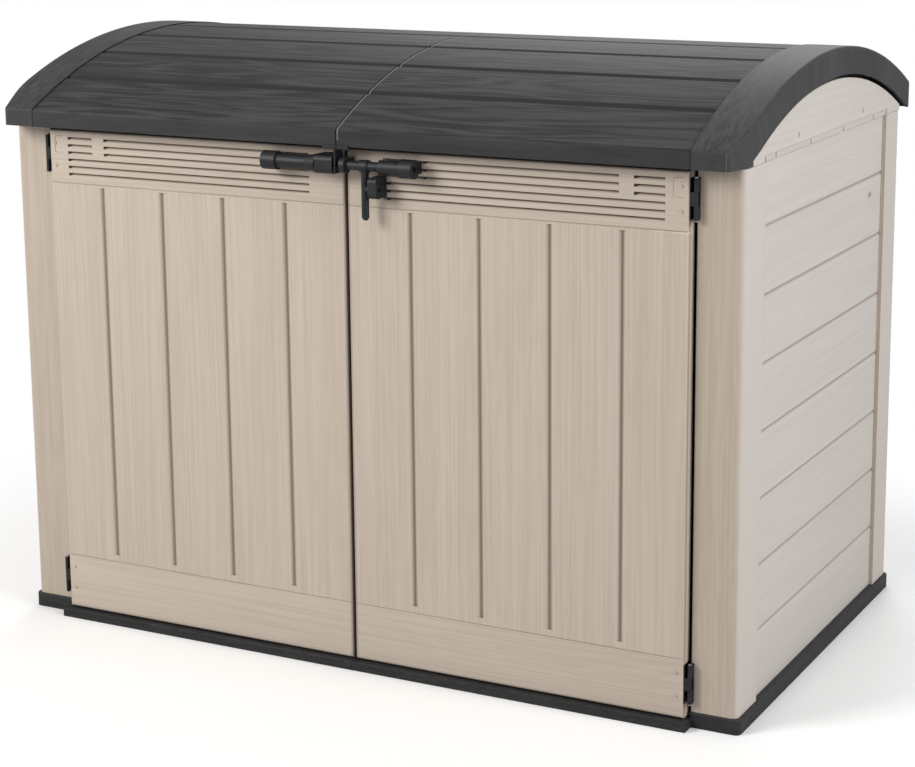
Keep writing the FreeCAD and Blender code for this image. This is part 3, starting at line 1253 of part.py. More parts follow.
def strut_foot():
    """Bracket on the side wall with the strut's lower pivot."""
    y, z, half = size("strut_foot_y"), STRUT_FOOT_Z, "dims.strut_foot_half"
    bracket = block("strut_foot_block",
                    (f"{WALL_IN} - dims.strut_foot_proud", f"{y} - {half}", f"{z} - {half}"),
                    (f"{WALL_OUT} - dims.wall_skin", f"{y} + {half}", f"{z} + {half}"))
    start = f"({STRUT_X} - dims.strut_eye_width / 2 - dims.strut_pin_end)"
    pin = cylinder("strut_foot_pin", "X", (start, y, z), size("strut_pin_radius"),
                   f"{WALL_IN} - {start}")
    return fuse("strut_foot_right", [bracket, pin])


def strut_head():
    """Bracket that hangs from the lid's end cap beside the rod's end."""
    body = new_body("strut_head_right")
    side = sketch_on(body, "YZ_Plane",
                     f"{STRUT_X} + dims.strut_eye_width / 2 + dims.side_play")
    top = "(dims.lid_radius - dims.lid_wall)"
    front, rear = (f"(dims.strut_head_y {sign} dims.strut_head_half)" for sign in "-+")
    low = f"{STRUT_HEAD_Z} - dims.strut_head_drop"
    closed_outline(side, [
        (front, low), (rear, low),
        (rear, (None, arc_height(rear, top)), (ARC_Y, ARC_Z, top)),
        (front, (None, arc_height(front, top)))])
    pad(body, side, size("strut_head_thick"))
    return body


node_pair(strut_cylinder(), "strut_cylinder_left")
node_pair(strut_rod(), "strut_rod_left")
node_pair(strut_foot(), "strut_foot_left")
node_pair(strut_head(), "strut_head_left")


# ------------------------------------------------------------------ check and write
doc.recompute()
for item in doc.Objects:
    if {"Invalid", "Error"} & set(item.State):
        raise RuntimeError(f"{item.Name} failed: {item.State}")
for name, item in NODES.items():
    shape = item.Shape
    if shape.isNull() or not shape.isValid() or not shape.Solids:
        raise RuntimeError(f"{name} has no valid solid")

os.makedirs("parts", exist_ok=True)
for name, item in NODES.items():
    item.Shape.exportStep(f"parts/{name}.step")
print(f"{len(NODES)} nodes written")
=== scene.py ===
import math

import bmesh
import bpy
from mathutils import Euler, Matrix, Vector


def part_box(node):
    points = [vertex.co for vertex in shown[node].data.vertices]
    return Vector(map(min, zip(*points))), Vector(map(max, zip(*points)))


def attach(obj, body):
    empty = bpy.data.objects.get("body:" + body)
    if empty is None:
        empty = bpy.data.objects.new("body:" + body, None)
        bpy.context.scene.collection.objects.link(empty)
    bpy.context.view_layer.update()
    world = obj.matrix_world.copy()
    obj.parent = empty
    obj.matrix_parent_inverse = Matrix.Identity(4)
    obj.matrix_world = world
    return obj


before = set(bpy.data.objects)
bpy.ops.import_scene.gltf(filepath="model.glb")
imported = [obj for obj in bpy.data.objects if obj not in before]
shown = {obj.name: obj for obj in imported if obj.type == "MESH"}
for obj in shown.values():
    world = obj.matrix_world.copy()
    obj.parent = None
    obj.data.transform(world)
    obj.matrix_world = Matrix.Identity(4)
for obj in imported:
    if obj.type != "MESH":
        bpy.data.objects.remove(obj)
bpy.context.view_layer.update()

# --------------------------------------------------------------------------- floor
# The floor is two dark resin trays joined down the middle. Their rim and sill stand
# proud of the walls. Small dark wedges along the top of the sill's front face stand in for
# drain notches: their dark is painted shade.
FLOOR_DARK = (0.019, 0.019, 0.020)
FLOOR_PALE = (0.034, 0.034, 0.035)
FLOOR_RUBBED = (0.12, 0.12, 0.12)
# Painted shade for hollows: near-black with a paler mottle.
SLOT_SHADE_DARK = (0.010, 0.008, 0.007)
SLOT_SHADE_MOTTLE = (0.030, 0.024, 0.020)


class Field:
    """A socket in a material, used like a number: an expression on it adds Math nodes."""

    def __init__(self, tree, socket=None):
        self.tree, self.socket = tree, socket

    def node(self, kind, settings, inputs, output=0):
        made = self.tree.nodes.new(kind)
        for name, value in settings.items():
            setattr(made, name, value)
        for name, value in inputs.items():
            if isinstance(value, Field):
                self.tree.links.new(value.socket, made.inputs[name])
            else:
                made.inputs[name].default_value = value
        return Field(self.tree, made.outputs[output])

    def maths(self, operation, *values):
        return self.node("ShaderNodeMath", {"operation": operation}, dict(enumerate(values)))

    def __add__(self, other):
        return self.maths("ADD", self, other)

    def __radd__(self, other):
        return self.maths("ADD", other, self)

    def __sub__(self, other):
        return self.maths("SUBTRACT", self, other)

    def __rsub__(self, other):
        return self.maths("SUBTRACT", other, self)

    def __mul__(self, other):
        return self.maths("MULTIPLY", self, other)

    def __rmul__(self, other):
        return self.maths("MULTIPLY", other, self)

    def __truediv__(self, other):
        return self.maths("DIVIDE", self, other)

    def __pow__(self, other):
        return self.maths("POWER", self, other)

    def __gt__(self, other):
        return self.maths("GREATER_THAN", self, other)

    def __lt__(self, other):
        return self.maths("LESS_THAN", self, other)

    def __abs__(self):
        return self.maths("ABSOLUTE", self)

    def __floor__(self):
        return self.maths("FLOOR", self)


def begin_finish(name):
    """A new material with its shader, and the object's own coordinates."""
    material = bpy.data.materials.new(name)
    material.use_nodes = True
    start = Field(material.node_tree)
    place = start.node("ShaderNodeTexCoord", {}, {}, "Object")
    return material, material.node_tree.nodes["Principled BSDF"], place


def axes_of(place):
    return [place.node("ShaderNodeSeparateXYZ", {}, {0: place}, letter) for letter in "XYZ"]


def vector_of(x, y, z):
    whole = next(part for part in (x, y, z) if isinstance(part, Field))
    return whole.node("ShaderNodeCombineXYZ", {}, {0: x, 1: y, 2: z})


def noise(place, scale, detail=3.0, roughness=0.6, distortion=0.0):
    """Noise between 0 and 1, stretched by a scale along each axis, in waves per metre."""
    stretched = place.node("ShaderNodeVectorMath", {"operation": "MULTIPLY"}, {0: place, 1: scale})
    return place.node("ShaderNodeTexNoise", {}, {
        "Vector": stretched, "Scale": 1.0, "Detail": detail, "Roughness": roughness,
        "Distortion": distortion})


def ease(value, low, high):
    """0 below low, 1 above high, smooth between."""
    return value.node("ShaderNodeMapRange", {"interpolation_type": "SMOOTHSTEP"},
                      {0: value, 1: low, 2: high, 3: 0.0, 4: 1.0})


def blend_colour(share, first, second):
    """Mixes two colours, or two colour sockets, by a share."""
    first = first if isinstance(first, Field) else (*first, 1.0)
    second = second if isinstance(second, Field) else (*second, 1.0)
    return share.node("ShaderNodeMix", {"data_type": "RGBA"}, {0: share, 6: first, 7: second}, 2)


def choose(share, first, second):
    """Mixes two vectors by a share."""
    return share.node("ShaderNodeMix", {"data_type": "VECTOR"}, {0: share, 4: first, 5: second}, 1)


def connect(value, shader, name):
    value.tree.links.new(value.socket, shader.inputs[name])


def resin_finish(material, shader, grain, dark, pale, relief, roughness, strands=(1.6, 230.0),
                 swirl=0.15, plain=0.0, wear=(0.68, 0.64, 0.59), worn=0.25, corner_shade_share=0.5):
    """Moulded resin with an embossed wood grain. grain is a place whose x runs along the
    wood; strands is its waves per metre along and across, swirl how much of it is curly
    figure, and plain hides it. Edges are rubbed paler, and corners are painted darker as shade.
    Gives the colour, for marks that go on top."""
    along, across = strands
    fine = noise(grain, (along, across, across), 2.0, 0.6, 0.2)
    bands = noise(grain, (along * 0.5, across * 0.2, across * 0.2), 2.0, 0.5, 0.3)
    swell = noise(grain, (1.1, 12.0, 12.0), 2.0, 0.5, 0.5) * 10.0
    rings = swell.maths("PINGPONG", swell, 0.5) * 2.0
    cloud = noise(grain, (0.8, 3.0, 3.0), 1.0, 0.5)
    height = (fine * (1.0 - swirl) + rings * swirl) * (1.0 - plain) + 0.5 * plain
    rounded = height.node("ShaderNodeBevel", {"samples": 3}, {"Radius": 0.0022})
    flat = height.node("ShaderNodeNewGeometry", {}, {}, "Normal")
    turned = height.node("ShaderNodeVectorMath", {"operation": "DOT_PRODUCT"},
                         {0: rounded, 1: flat}, "Value")
    rubbed = ease(1.0 - turned, 0.03, 0.25) * ease(fine, 0.3, 0.6) * worn
    # Painted shade: corners and creases, found by ambient occlusion, are darkened.
    corner = height.node("ShaderNodeAmbientOcclusion", {"only_local": True, "samples": 4},
                         {"Distance": 0.012}, "AO")
    painted_corner_shade = (1.0 - ease(corner, 0.3, 0.9)) * corner_shade_share
    tone = height * 0.62 + bands * 0.18 + cloud * 0.2
    colour = blend_colour(ease(tone, 0.36, 0.64), dark, pale)
    colour = blend_colour(painted_corner_shade, colour, tuple(c * 0.35 for c in dark))
    connect(roughness + height * 0.1 + cloud * 0.08 - rubbed * 0.25, shader, "Roughness")
    connect(height.node("ShaderNodeBump", {}, {
        "Strength": 0.5, "Distance": relief, "Height": height, "Normal": rounded}), shader, "Normal")
    shader.inputs["Specular IOR Level"].default_value = 0.3
    colour = blend_colour(rubbed, colour, wear)
    connect(colour, shader, "Base Color")
    return colour


def paint(material, names):
    for name in names:
        shown[name].data.materials.clear()
        shown[name].data.materials.append(material)


def add_piece(name, shape, material, body):
    """Makes a piece from a bmesh, finished with the given material. It rides on a body."""
    bmesh.ops.recalc_face_normals(shape, faces=shape.faces)
    mesh = bpy.data.meshes.new(name)
    shape.to_mesh(mesh)
    shape.free()
    mesh.materials.append(material)
    piece = bpy.data.objects.new(name, mesh)
    bpy.context.scene.collection.objects.link(piece)
    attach(piece, body)


def add_wedge(shape, corner, wide, deep, tall, lean):
    """A block that narrows downwards from the right. corner is its upper left front one."""
    x, y, z = corner
    made = bmesh.ops.create_cube(shape, size=1.0)["verts"]
    bmesh.ops.transform(shape, verts=made, matrix=(
        Matrix.Translation((x + wide / 2, y + deep / 2, z - tall / 2))
        @ Matrix.Diagonal((wide, deep, tall, 1.0))))
    lower_right = [v for v in made if v.co.x > x + wide / 2 and v.co.z < z - tall / 2]
    bmesh.ops.translate(shape, verts=lower_right, vec=(-lean, 0.0, 0.0))


def hollow_shade_finish():
    """Painted shade: a mottled near-black that stands in for the shade inside slots, notches and
    holes.
    """
    material, shader, place = begin_finish("hollow_shade")
    shade_mottle = noise(place, (260.0, 260.0, 260.0), 3.0)
    connect(blend_colour(shade_mottle, SLOT_SHADE_DARK, SLOT_SHADE_MOTTLE), shader, "Base Color")
    connect(0.7 + shade_mottle * 0.25, shader, "Roughness")
    connect(shade_mottle.node("ShaderNodeBump", {}, {
        "Strength": 0.3, "Distance": 0.0002, "Height": shade_mottle}), shader, "Normal")
    return material


def tray_finish():
    material, shader, place = begin_finish("tray_resin")
    resin_finish(material, shader, place, FLOOR_DARK, FLOOR_PALE, 0.0002, 0.5, (60.0, 220.0),
                 wear=FLOOR_RUBBED, worn=0.5, corner_shade_share=0.25)
    return material


paint(tray_finish(), ["floor_panel_right", "floor_panel_left", "floor_joiner"])

NOTCH_FIRST, NOTCH_PITCH, NOTCH_TOP = 0.122, 0.2465, 0.0192
NOTCH_WIDE, NOTCH_DEEP, NOTCH_TALL, NOTCH_LEAN = 0.010, 0.004, 0.0055, 0.007
hollow_shade = hollow_shade_finish()
sill_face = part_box("floor_panel_right")[0][1]
# Painted shade: dark wedges on the sill's front face stand in for the notches' hollows.
notches = bmesh.new()
for i in range(3):
    for side in (-1, 1):
        add_wedge(notches, (side * (NOTCH_FIRST + i * NOTCH_PITCH), sill_face - 0.0002, NOTCH_TOP),
                  NOTCH_WIDE, NOTCH_DEEP, NOTCH_TALL, NOTCH_LEAN)
add_piece("sill_notches", notches, hollow_shade, "carcass")

# ------------------------------------------------------------------- posts and walls
# Posts, walls and gables are beige resin moulded with a wood grain: upright on the
# posts, level and fainter on the walls. The joints between boards are painted darker the
# deeper they go, as shade, and the right wall has one small dark knot.
POST_DARK = (0.455, 0.379, 0.308)
POST_PALE = (0.520, 0.442, 0.368)
WALL_DARK = (0.520, 0.474, 0.438)
WALL_PALE = (0.560, 0.514, 0.478)
WALL_FACE, WALL_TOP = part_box("side_wall_right")[1][0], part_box("side_wall_right")[1][2]
BACK_FACE, GABLE_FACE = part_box("back_wall_right")[1][1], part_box("gable_right")[1][0]
WALL_SKIN = 0.0085
JOINT_SHADE = (0.36, 0.32, 0.285)
JOINT_DARK = (0.20, 0.175, 0.155)
KNOT_Y, KNOT_Z = 0.322, 0.982
KNOT_BROWN = (0.20, 0.17, 0.15)
BOARD_FOOT, BOARD_PITCH = 0.175, 0.141
SIDE_START = 0.85


def turned_sideways(place):
    """0 on faces that look forwards, up or down, 1 on those that look left or right."""
    return abs(axes_of(place.node("ShaderNodeTexCoord", {}, {}, "Normal"))[0])


def post_finish():
    material, shader, place = begin_finish("post_resin")
    x, y, z = axes_of(place)
    # Painted shade and light: front faces take the posts' own beige, set darker than the doors' as
    # painted shade, and faces that look left or right are blended towards the walls' pale as painted
    # light.
    front = resin_finish(material, shader, vector_of(z, x, y), POST_DARK, POST_PALE, 0.0003, 0.5)
    faded = ease(turned_sideways(place), 0.35, 0.8) * 0.8
    connect(blend_colour(faded, front, WALL_PALE), shader, "Base Color")
    return material


def board_finish():
    """Boards of the walls: each has grain of its own, level on the sides and the back."""
    material, shader, place = begin_finish("board_resin")
    x, y, z = axes_of(place)
    board = math.floor((z - BOARD_FOOT) / BOARD_PITCH)
    sideways = abs(x) > SIDE_START
    side_grain = vector_of(y + board * 3.71, z + board * 0.37, x)
    back_grain = vector_of(x + board * 3.71, z + board * 0.37, y)
    colour = resin_finish(material, shader, choose(sideways, back_grain, side_grain), WALL_DARK,
                          WALL_PALE, 0.00015, 0.52, (2.0, 200.0), swirl=0.1)
    wall = z < WALL_TOP
    side_depth = (WALL_FACE - abs(x)) * wall + (GABLE_FACE - abs(x)) * (1.0 - wall)
    depth = side_depth * sideways + (BACK_FACE - y) * (1.0 - sideways)
    outer = depth < WALL_SKIN
    # Painted shade: joints between boards darken with their depth into the wall.
    colour = blend_colour(ease(depth, 0.0003, 0.0022) * outer * 0.5, colour, JOINT_SHADE)
    colour = blend_colour(ease(depth, 0.0022, 0.0042) * outer * 0.9, colour, JOINT_DARK)
    away = (((y - KNOT_Y) * 0.5) ** 2.0 + (z - KNOT_Z) ** 2.0) ** 0.5
    away = away + (noise(place, (90.0, 90.0, 90.0), 2.0) - 0.5) * 0.004
    knot = (1.0 - ease(away, 0.001, 0.0105)) * (x > 0.0) * 0.8
    connect(blend_colour(knot, colour, KNOT_BROWN), shader, "Base Color")
    return material


paint(post_finish(), ["front_post_right", "front_post_left", "rear_post_right", "rear_post_left",
                      "back_joiner"])
paint(board_finish(), ["side_wall_right", "side_wall_left", "back_wall_right", "back_wall_left",
                       "back_rail", "gable_right", "gable_left"])

# --------------------------------------------------------------------------- doors
# Each door is five planks between two rails, in a warmer beige. Grain stands upright on
# the planks and lies along the rails and louvres. Slots, grooves and the edges where the
# doors meet are painted darker as shade, and a pale line along the right door's louvre rail
# is a painted highlight. Dark wedges at the left ends of the louvre slots are painted
# shadow, and a thin moulded outline stands beside them.
DOOR_DARK = (0.505, 0.424, 0.351)
DOOR_PALE = (0.572, 0.490, 0.413)
SLOT_BROWN = (0.125, 0.100, 0.078)
GROOVE_BEIGE = (0.27, 0.22, 0.175)
RAIL_HIGHLIGHT_BEIGE = (0.80, 0.76, 0.72)
DOOR_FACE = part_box("door_panel_right")[0][1]
DOOR_SKIN = 0.008
PLANK_FIRST, PLANK_PITCH = 0.152, 0.159
PLANK_FOOT, PLANK_HEAD = 0.149, 1.027
SLOT_FOOT, SLOT_PITCH, SLOT_TALL = 1.043, 0.0162, 0.008
END_SHADOW_WIDE, END_SHADOW_DEEP, END_SHADOW_TALL, END_SHADOW_LEAN = 0.011, 0.004, 0.0072, 0.0065
OUTLINE_LOW, OUTLINE_HIGH, OUTLINE_WIDE = 1.095, 1.133, 0.020
OUTLINE_TURN, OUTLINE_LINE = 0.006, 0.0013


def door_finish():
    material, shader, place = begin_finish("door_resin")
    x, y, z = axes_of(place)
    plank = math.floor((abs(x) - PLANK_FIRST) / PLANK_PITCH)
    upright = vector_of(z + plank * 2.93, x + plank * 0.41, y)
    level = vector_of(x + 5.0, z, y)
    rail = (z > PLANK_HEAD) + (z < PLANK_FOOT)
    colour = resin_finish(material, shader, choose(rail, upright, level), DOOR_DARK, DOOR_PALE,
                          0.0003, 0.5, swirl=0.12)
    depth = (y - DOOR_FACE) * (y < DOOR_FACE + DOOR_SKIN)
    louvre = z > PLANK_HEAD + 0.01
    # Painted shade: louvre slots and plank grooves darken with their depth.
    colour = blend_colour(ease(depth, 0.0003, 0.0034) * louvre * 0.9, colour, SLOT_BROWN)
    colour = blend_colour(ease(depth, 0.0004, 0.0042) * (1.0 - louvre) * 0.85, colour, GROOVE_BEIGE)
    # Painted shade: the door edges darken towards the middle gap.
    colour = blend_colour((1.0 - ease(abs(x), 0.006, 0.011)) * 0.6, colour, GROOVE_BEIGE)
    colour = blend_colour((1.0 - ease(abs(x), 0.003, 0.0055)) * 0.9, colour, SLOT_BROWN)
    # Painted highlight: a pale broken line along the edge under the louvre rail on the right door.
    rail_edge_highlight = (1.0 - ease(abs(z - PLANK_HEAD + 0.002), 0.0004, 0.0014)) * ease(x, 0.62, 0.66)
    rail_edge_highlight = rail_edge_highlight * ease(noise(place, (14.0, 14.0, 14.0), 1.0), 0.35, 0.6) * (depth < 0.004)
    connect(blend_colour(rail_edge_highlight * 0.8, colour, RAIL_HIGHLIGHT_BEIGE), shader, "Base Color")
    return material


def add_outline(shape, left):
    """A thin half-round line: along the top, down the left side and back along the foot."""
    circle = bmesh.ops.create_circle(shape, segments=8, radius=OUTLINE_LINE)["verts"]
    ring = list({edge for vert in circle for edge in vert.link_edges})
    bmesh.ops.transform(shape, verts=circle, matrix=(
        Matrix.Translation((left + OUTLINE_WIDE, DOOR_FACE, OUTLINE_HIGH))
        @ Matrix.Rotation(math.pi / 2, 4, "Y")))
    turns = (OUTLINE_HIGH - OUTLINE_TURN, OUTLINE_LOW + OUTLINE_TURN)
    runs = ((OUTLINE_TURN - OUTLINE_WIDE, 0.0, 0.0), (0.0, 0.0, turns[1] - turns[0]),
            (OUTLINE_WIDE - OUTLINE_TURN, 0.0, 0.0))
    for i, run in enumerate(runs):
        made = bmesh.ops.extrude_edge_only(shape, edges=ring)["geom"]
        moved = {part for part in made if isinstance(part, bmesh.types.BMVert)}
        bmesh.ops.translate(shape, verts=list(moved), vec=run)
        ring = [part for part in made
                if isinstance(part, bmesh.types.BMEdge) and moved.issuperset(part.verts)]
        if i < len(turns):
            last = bmesh.ops.spin(shape, geom=ring, cent=(left + OUTLINE_TURN, DOOR_FACE, turns[i]),
                                  axis=(0.0, 1.0, 0.0), angle=-math.pi / 2, steps=4,
                                  use_duplicate=False)["geom_last"]
            ring = [part for part in last if isinstance(part, bmesh.types.BMEdge)]
    bmesh.ops.holes_fill(shape, edges=[edge for edge in shape.edges if edge.is_boundary], sides=0)


beige_door = door_finish()
paint(beige_door, ["door_panel_right", "door_panel_left"])
for side, starts, outline_left in (
        ("right", ((0.099, range(3)), (0.184, range(3, 6)), (0.653, range(3, 6))), 0.735),
        ("left", ((-0.719, range(6)), (-0.621, range(3, 6)), (-0.146, range(5, 6))), -0.755)):
    # Painted shadow: dark wedges at the left end of each louvre slot, where its end wall casts shade.
    end_shadows = bmesh.new()
    for start, rows in starts:
        for row in rows:
            top = SLOT_FOOT + row * SLOT_PITCH + SLOT_TALL
            add_wedge(end_shadows, (start, DOOR_FACE + 0.0004, top + 0.0004),
                      END_SHADOW_WIDE, END_SHADOW_DEEP, END_SHADOW_TALL, END_SHADOW_LEAN)
    add_piece(f"louvre_end_shadows_{side}", end_shadows, hollow_shade, f"{side}_door")
    outline = bmesh.new()
    add_outline(outline, outline_left)
    add_piece(f"door_outline_{side}", outline, beige_door, f"{side}_door")

# ------------------------------------------------------------------- hinges and screws
# Door hinges, lid hinges and strut brackets are black resin. Pins and screws are zinc
# plated steel, and the screws in the doors have heads in the doors' colour.
HINGE_DARK = (0.012, 0.012, 0.013)
HINGE_PALE = (0.022, 0.022, 0.023)
HINGE_RUBBED = (0.10, 0.10, 0.10)
ZINC_GREY = (0.52, 0.52, 0.53)


def hinge_finish():
    material, shader, place = begin_finish("hinge_resin")
    resin_finish(material, shader, place, HINGE_DARK, HINGE_PALE, 0.0001, 0.45, (40.0, 260.0),
                 wear=HINGE_RUBBED, worn=0.4, corner_shade_share=0.1)
    return material


def steel_finish(name, colour, roughness, streak):
    """Bare metal with drawn lines, streak waves per metre along each axis, and dull spots."""
    material, shader, place = begin_finish(name)
    drawn = noise(place, streak, 3.0)
    spots = ease(noise(place, (90.0, 90.0, 90.0), 4.0), 0.52, 0.7)
    connect(blend_colour(spots * 0.35, colour, tuple(c * 0.55 for c in colour)), shader, "Base Color")
    connect(roughness + drawn * 0.12 + spots * 0.15, shader, "Roughness")
    connect(drawn.node("ShaderNodeBump", {}, {
        "Strength": 0.2, "Distance": 0.0001, "Height": drawn}), shader, "Normal")
    shader.inputs["Metallic"].default_value = 1.0
    return material


paint(hinge_finish(), [
    "door_hinge_leaves_right", "door_hinge_leaves_left", "door_hinge_brackets_right",
    "door_hinge_brackets_left", "lid_hinge_brackets", "lid_hinge_leaves", "strut_foot_right",
    "strut_foot_left", "strut_head_right", "strut_head_left"])
paint(steel_finish("zinc_steel", ZINC_GREY, 0.3, (60.0, 60.0, 900.0)), [
    "door_hinge_pins_right", "door_hinge_pins_left", "lid_hinge_pins", "rail_screws_right",
    "rail_screws_left", "latch_screws_right", "latch_screws_left"])
paint(beige_door, ["door_hinge_screws_right", "door_hinge_screws_left"])

# --------------------------------------------------------------------------- struts
# A gas strut holds the lid up on each side: a black painted cylinder, and a polished
# steel rod that slides out of it.
ROD_STEEL = (0.68, 0.68, 0.7)
STRUT_BLACK = (0.012, 0.012, 0.013)
STRUT_SCUFF = (0.07, 0.07, 0.07)
paint(steel_finish("strut_rod_steel", ROD_STEEL, 0.1, (900.0, 40.0, 10.0)),
      ["strut_rod_right", "strut_rod_left"])


def strut_paint():
    material, shader, place = begin_finish("strut_paint")
    peel = noise(place, (300.0, 300.0, 300.0), 2.0)
    scuff = ease(noise(place, (60.0, 60.0, 400.0), 3.0), 0.62, 0.75)
    connect(blend_colour(scuff * 0.4, STRUT_BLACK, STRUT_SCUFF), shader, "Base Color")
    connect(0.28 + scuff * 0.3, shader, "Roughness")
    connect(peel.node("ShaderNodeBump", {}, {
        "Strength": 0.15, "Distance": 0.0002, "Height": peel}), shader, "Normal")
    return material


paint(strut_paint(), ["strut_cylinder_right", "strut_cylinder_left"])

# --------------------------------------------------------------------------- lid
# The lid is dark grey resin. Deeply grained slats run across its top, with smooth grooves
# between them painted darker as shade, and a pale line beside its middle seam is a painted
# highlight. The fascia is smooth. On the end caps the grain follows the arch, and the skirt
# is nearly smooth.
LID_DARK = (0.026, 0.026, 0.027)
LID_PALE = (0.064, 0.063, 0.063)
CAP_DARK = (0.030, 0.030, 0.031)
GROOVE_SHADE_GREY = (0.027, 0.027, 0.028)
ARCH_Y, ARCH_Z, ARCH_RADIUS = 0.020, 0.090, 1.248
SLAT_TURN, FIRST_TURN = math.radians(6.6), math.radians(1.3)
GROOVE_LOW, GROOVE_HIGH = math.radians(-22.5), math.radians(20.0)
GROOVE_EDGE, GROOVE_FLANK = 0.0095, 0.0115
FASCIA, FASCIA_TOP = -0.5642, 1.17
CAP_SEAM, CAP_LINE, CAP_PALE_LINE, LID_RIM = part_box("lid_cap_right")[0][0], 0.862, 0.858, 0.0036
WEAR_AND_HIGHLIGHT_GREY = (0.19, 0.19, 0.19)
JOINT_BLACK = (0.008, 0.008, 0.008)


def line_at(value, place, half, soft):
    """1 within half of a place, and 0 further away than half and soft."""
    off = abs(value - place)
    return 1.0 - ease(off, half, half + soft)


def lid_finish():
    material, shader, place = begin_finish("lid_resin")
    x, y, z = axes_of(place)
    turn = (y - ARCH_Y).maths("ARCTAN2", y - ARCH_Y, z - ARCH_Z)
    count = (turn + FIRST_TURN) / SLAT_TURN
    slat = math.floor(count)
    half = (x > 0.0) * 1.9
    grain = vector_of(x + slat * 2.17 + half, turn * ARCH_RADIUS + slat * 0.31, z * 0.4)
    across = count.maths("PINGPONG", count, 0.5) * (SLAT_TURN * ARCH_RADIUS)
    groove = 1.0 - ease(across, GROOVE_EDGE, GROOVE_FLANK)
    groove = groove * (turn > GROOVE_LOW) * (turn < GROOVE_HIGH)
    fascia = y < FASCIA
    plain = groove.maths("MAXIMUM", groove, fascia * 0.8)
    colour = resin_finish(material, shader, grain, LID_DARK, LID_PALE, 0.0009, 0.55, (7.0, 170.0),
                          swirl=0.3, plain=plain, wear=WEAR_AND_HIGHLIGHT_GREY, worn=0.45, corner_shade_share=0.4)
    # Painted shade: the grooves between the slats are darkened.
    colour = blend_colour(groove * 0.8, colour, GROOVE_SHADE_GREY)
    # Painted highlight: a pale line along the edge right of the middle seam.
    rim = line_at(x, LID_RIM, 0.0012, 0.0010) * (z > FASCIA_TOP)
    colour = blend_colour(rim * 0.8, colour, WEAR_AND_HIGHLIGHT_GREY)
    joint = line_at(abs(x), CAP_SEAM, 0.0006, 0.0014)
    connect(blend_colour(joint * 0.85, colour, JOINT_BLACK), shader, "Base Color")
    shader.inputs["Specular IOR Level"].default_value = 0.14
    return material


def cap_finish():
    material, shader, place = begin_finish("cap_resin")
    x, y, z = axes_of(place)
    turn = (y - ARCH_Y).maths("ARCTAN2", y - ARCH_Y, z - ARCH_Z)
    sideways = ease(turned_sideways(place), 0.6, 0.8)
    along = vector_of(turn * ARCH_RADIUS, x, z * 0.4)
    upright = vector_of(z, turn * ARCH_RADIUS, x * 0.4)
    fascia = y < FASCIA
    smooth = fascia.maths("MAXIMUM", fascia, sideways) * 0.85
    colour = resin_finish(material, shader, choose(sideways, along, upright), CAP_DARK, LID_PALE,
                          0.0006, 0.50, (5.0, 190.0), swirl=0.12, plain=smooth,
                          wear=WEAR_AND_HIGHLIGHT_GREY, worn=0.6, corner_shade_share=0.4)
    # Painted highlight and shade: a thin pale line and a dark line on the fascia where it turns into
    # the rounded corner.
    thin = line_at(abs(x), CAP_PALE_LINE, 0.0002, 0.0010) * fascia
    colour = blend_colour(thin * 0.5, colour, WEAR_AND_HIGHLIGHT_GREY)
    joint = line_at(abs(x), CAP_SEAM, 0.0006, 0.0014)
    joint = joint.maths("MAXIMUM", joint, line_at(abs(x), CAP_LINE, 0.0005, 0.0012) * fascia)
    connect(blend_colour(joint * 0.85, colour, JOINT_BLACK), shader, "Base Color")
    shader.inputs["Specular IOR Level"].default_value = 0.2
    return material


paint(lid_finish(), ["lid_panel_right", "lid_panel_left", "lid_ribs_right", "lid_ribs_left",
                     "lid_seam_strip"])
paint(cap_finish(), ["lid_cap_right", "lid_cap_left"])

# --------------------------------------------------------------------------- latch
# Bolt, guide, keeper, grip and catch are black satin resin. A stop peg stands on the
# bolt's housing, and a dark disc in the padlock lug's front stands in for a small hole, its
# dark painted as shade.
LATCH_DARK = (0.011, 0.012, 0.014)
LATCH_PALE = (0.021, 0.022, 0.026)
LATCH_RUBBED = (0.12, 0.12, 0.13)
PEG_PLACE = (0.118, -0.558, 1.133)
PEG_FOOT, PEG_TIP, PEG_TALL, PEG_ROUND = 0.0055, 0.0042, 0.010, 0.0015
HOLE_MOUTH, HOLE_END, HOLE_DEEP, HOLE_Z = 0.0028, 0.0024, 0.003, 1.066


def latch_finish():
    material, shader, place = begin_finish("latch_resin")
    resin_finish(material, shader, place, LATCH_DARK, LATCH_PALE, 0.0001, 0.38, (50.0, 300.0),
                 wear=LATCH_RUBBED, worn=0.4, corner_shade_share=0.1)
    return material


black_latch = latch_finish()
paint(black_latch, ["bolt_housing", "bolt_guide", "padlock_lug", "bolt_rod", "bolt_lever",
                    "bolt_keeper", "door_grip", "lid_catch"])

peg = bmesh.new()
bmesh.ops.create_cone(peg, cap_ends=True, segments=24, radius1=PEG_FOOT, radius2=PEG_TIP,
                      depth=PEG_TALL)
rim = [edge for edge in peg.edges if min(v.co.z for v in edge.verts) > 0.0]
bmesh.ops.bevel(peg, geom=rim, offset=PEG_ROUND, segments=3, profile=0.5, affect="EDGES",
                material=-1)
bmesh.ops.translate(peg, verts=peg.verts, vec=PEG_PLACE)
add_piece("housing_peg", peg, black_latch, "right_door")

lug_low, lug_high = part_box("padlock_lug")
hole_place = ((lug_low[0] + lug_high[0]) / 2, lug_low[1] + 0.0013, HOLE_Z)
# Painted shade: a dark disc stands in for the shaded inside of the lug's hole.
hole = bmesh.new()
bmesh.ops.create_cone(hole, cap_ends=True, segments=24, radius1=HOLE_MOUTH, radius2=HOLE_END,
                      depth=HOLE_DEEP, matrix=(
                          Matrix.Translation(hole_place) @ Matrix.Rotation(math.pi / 2, 4, "X")))
add_piece("lug_hole", hole, hollow_shade, "right_door")

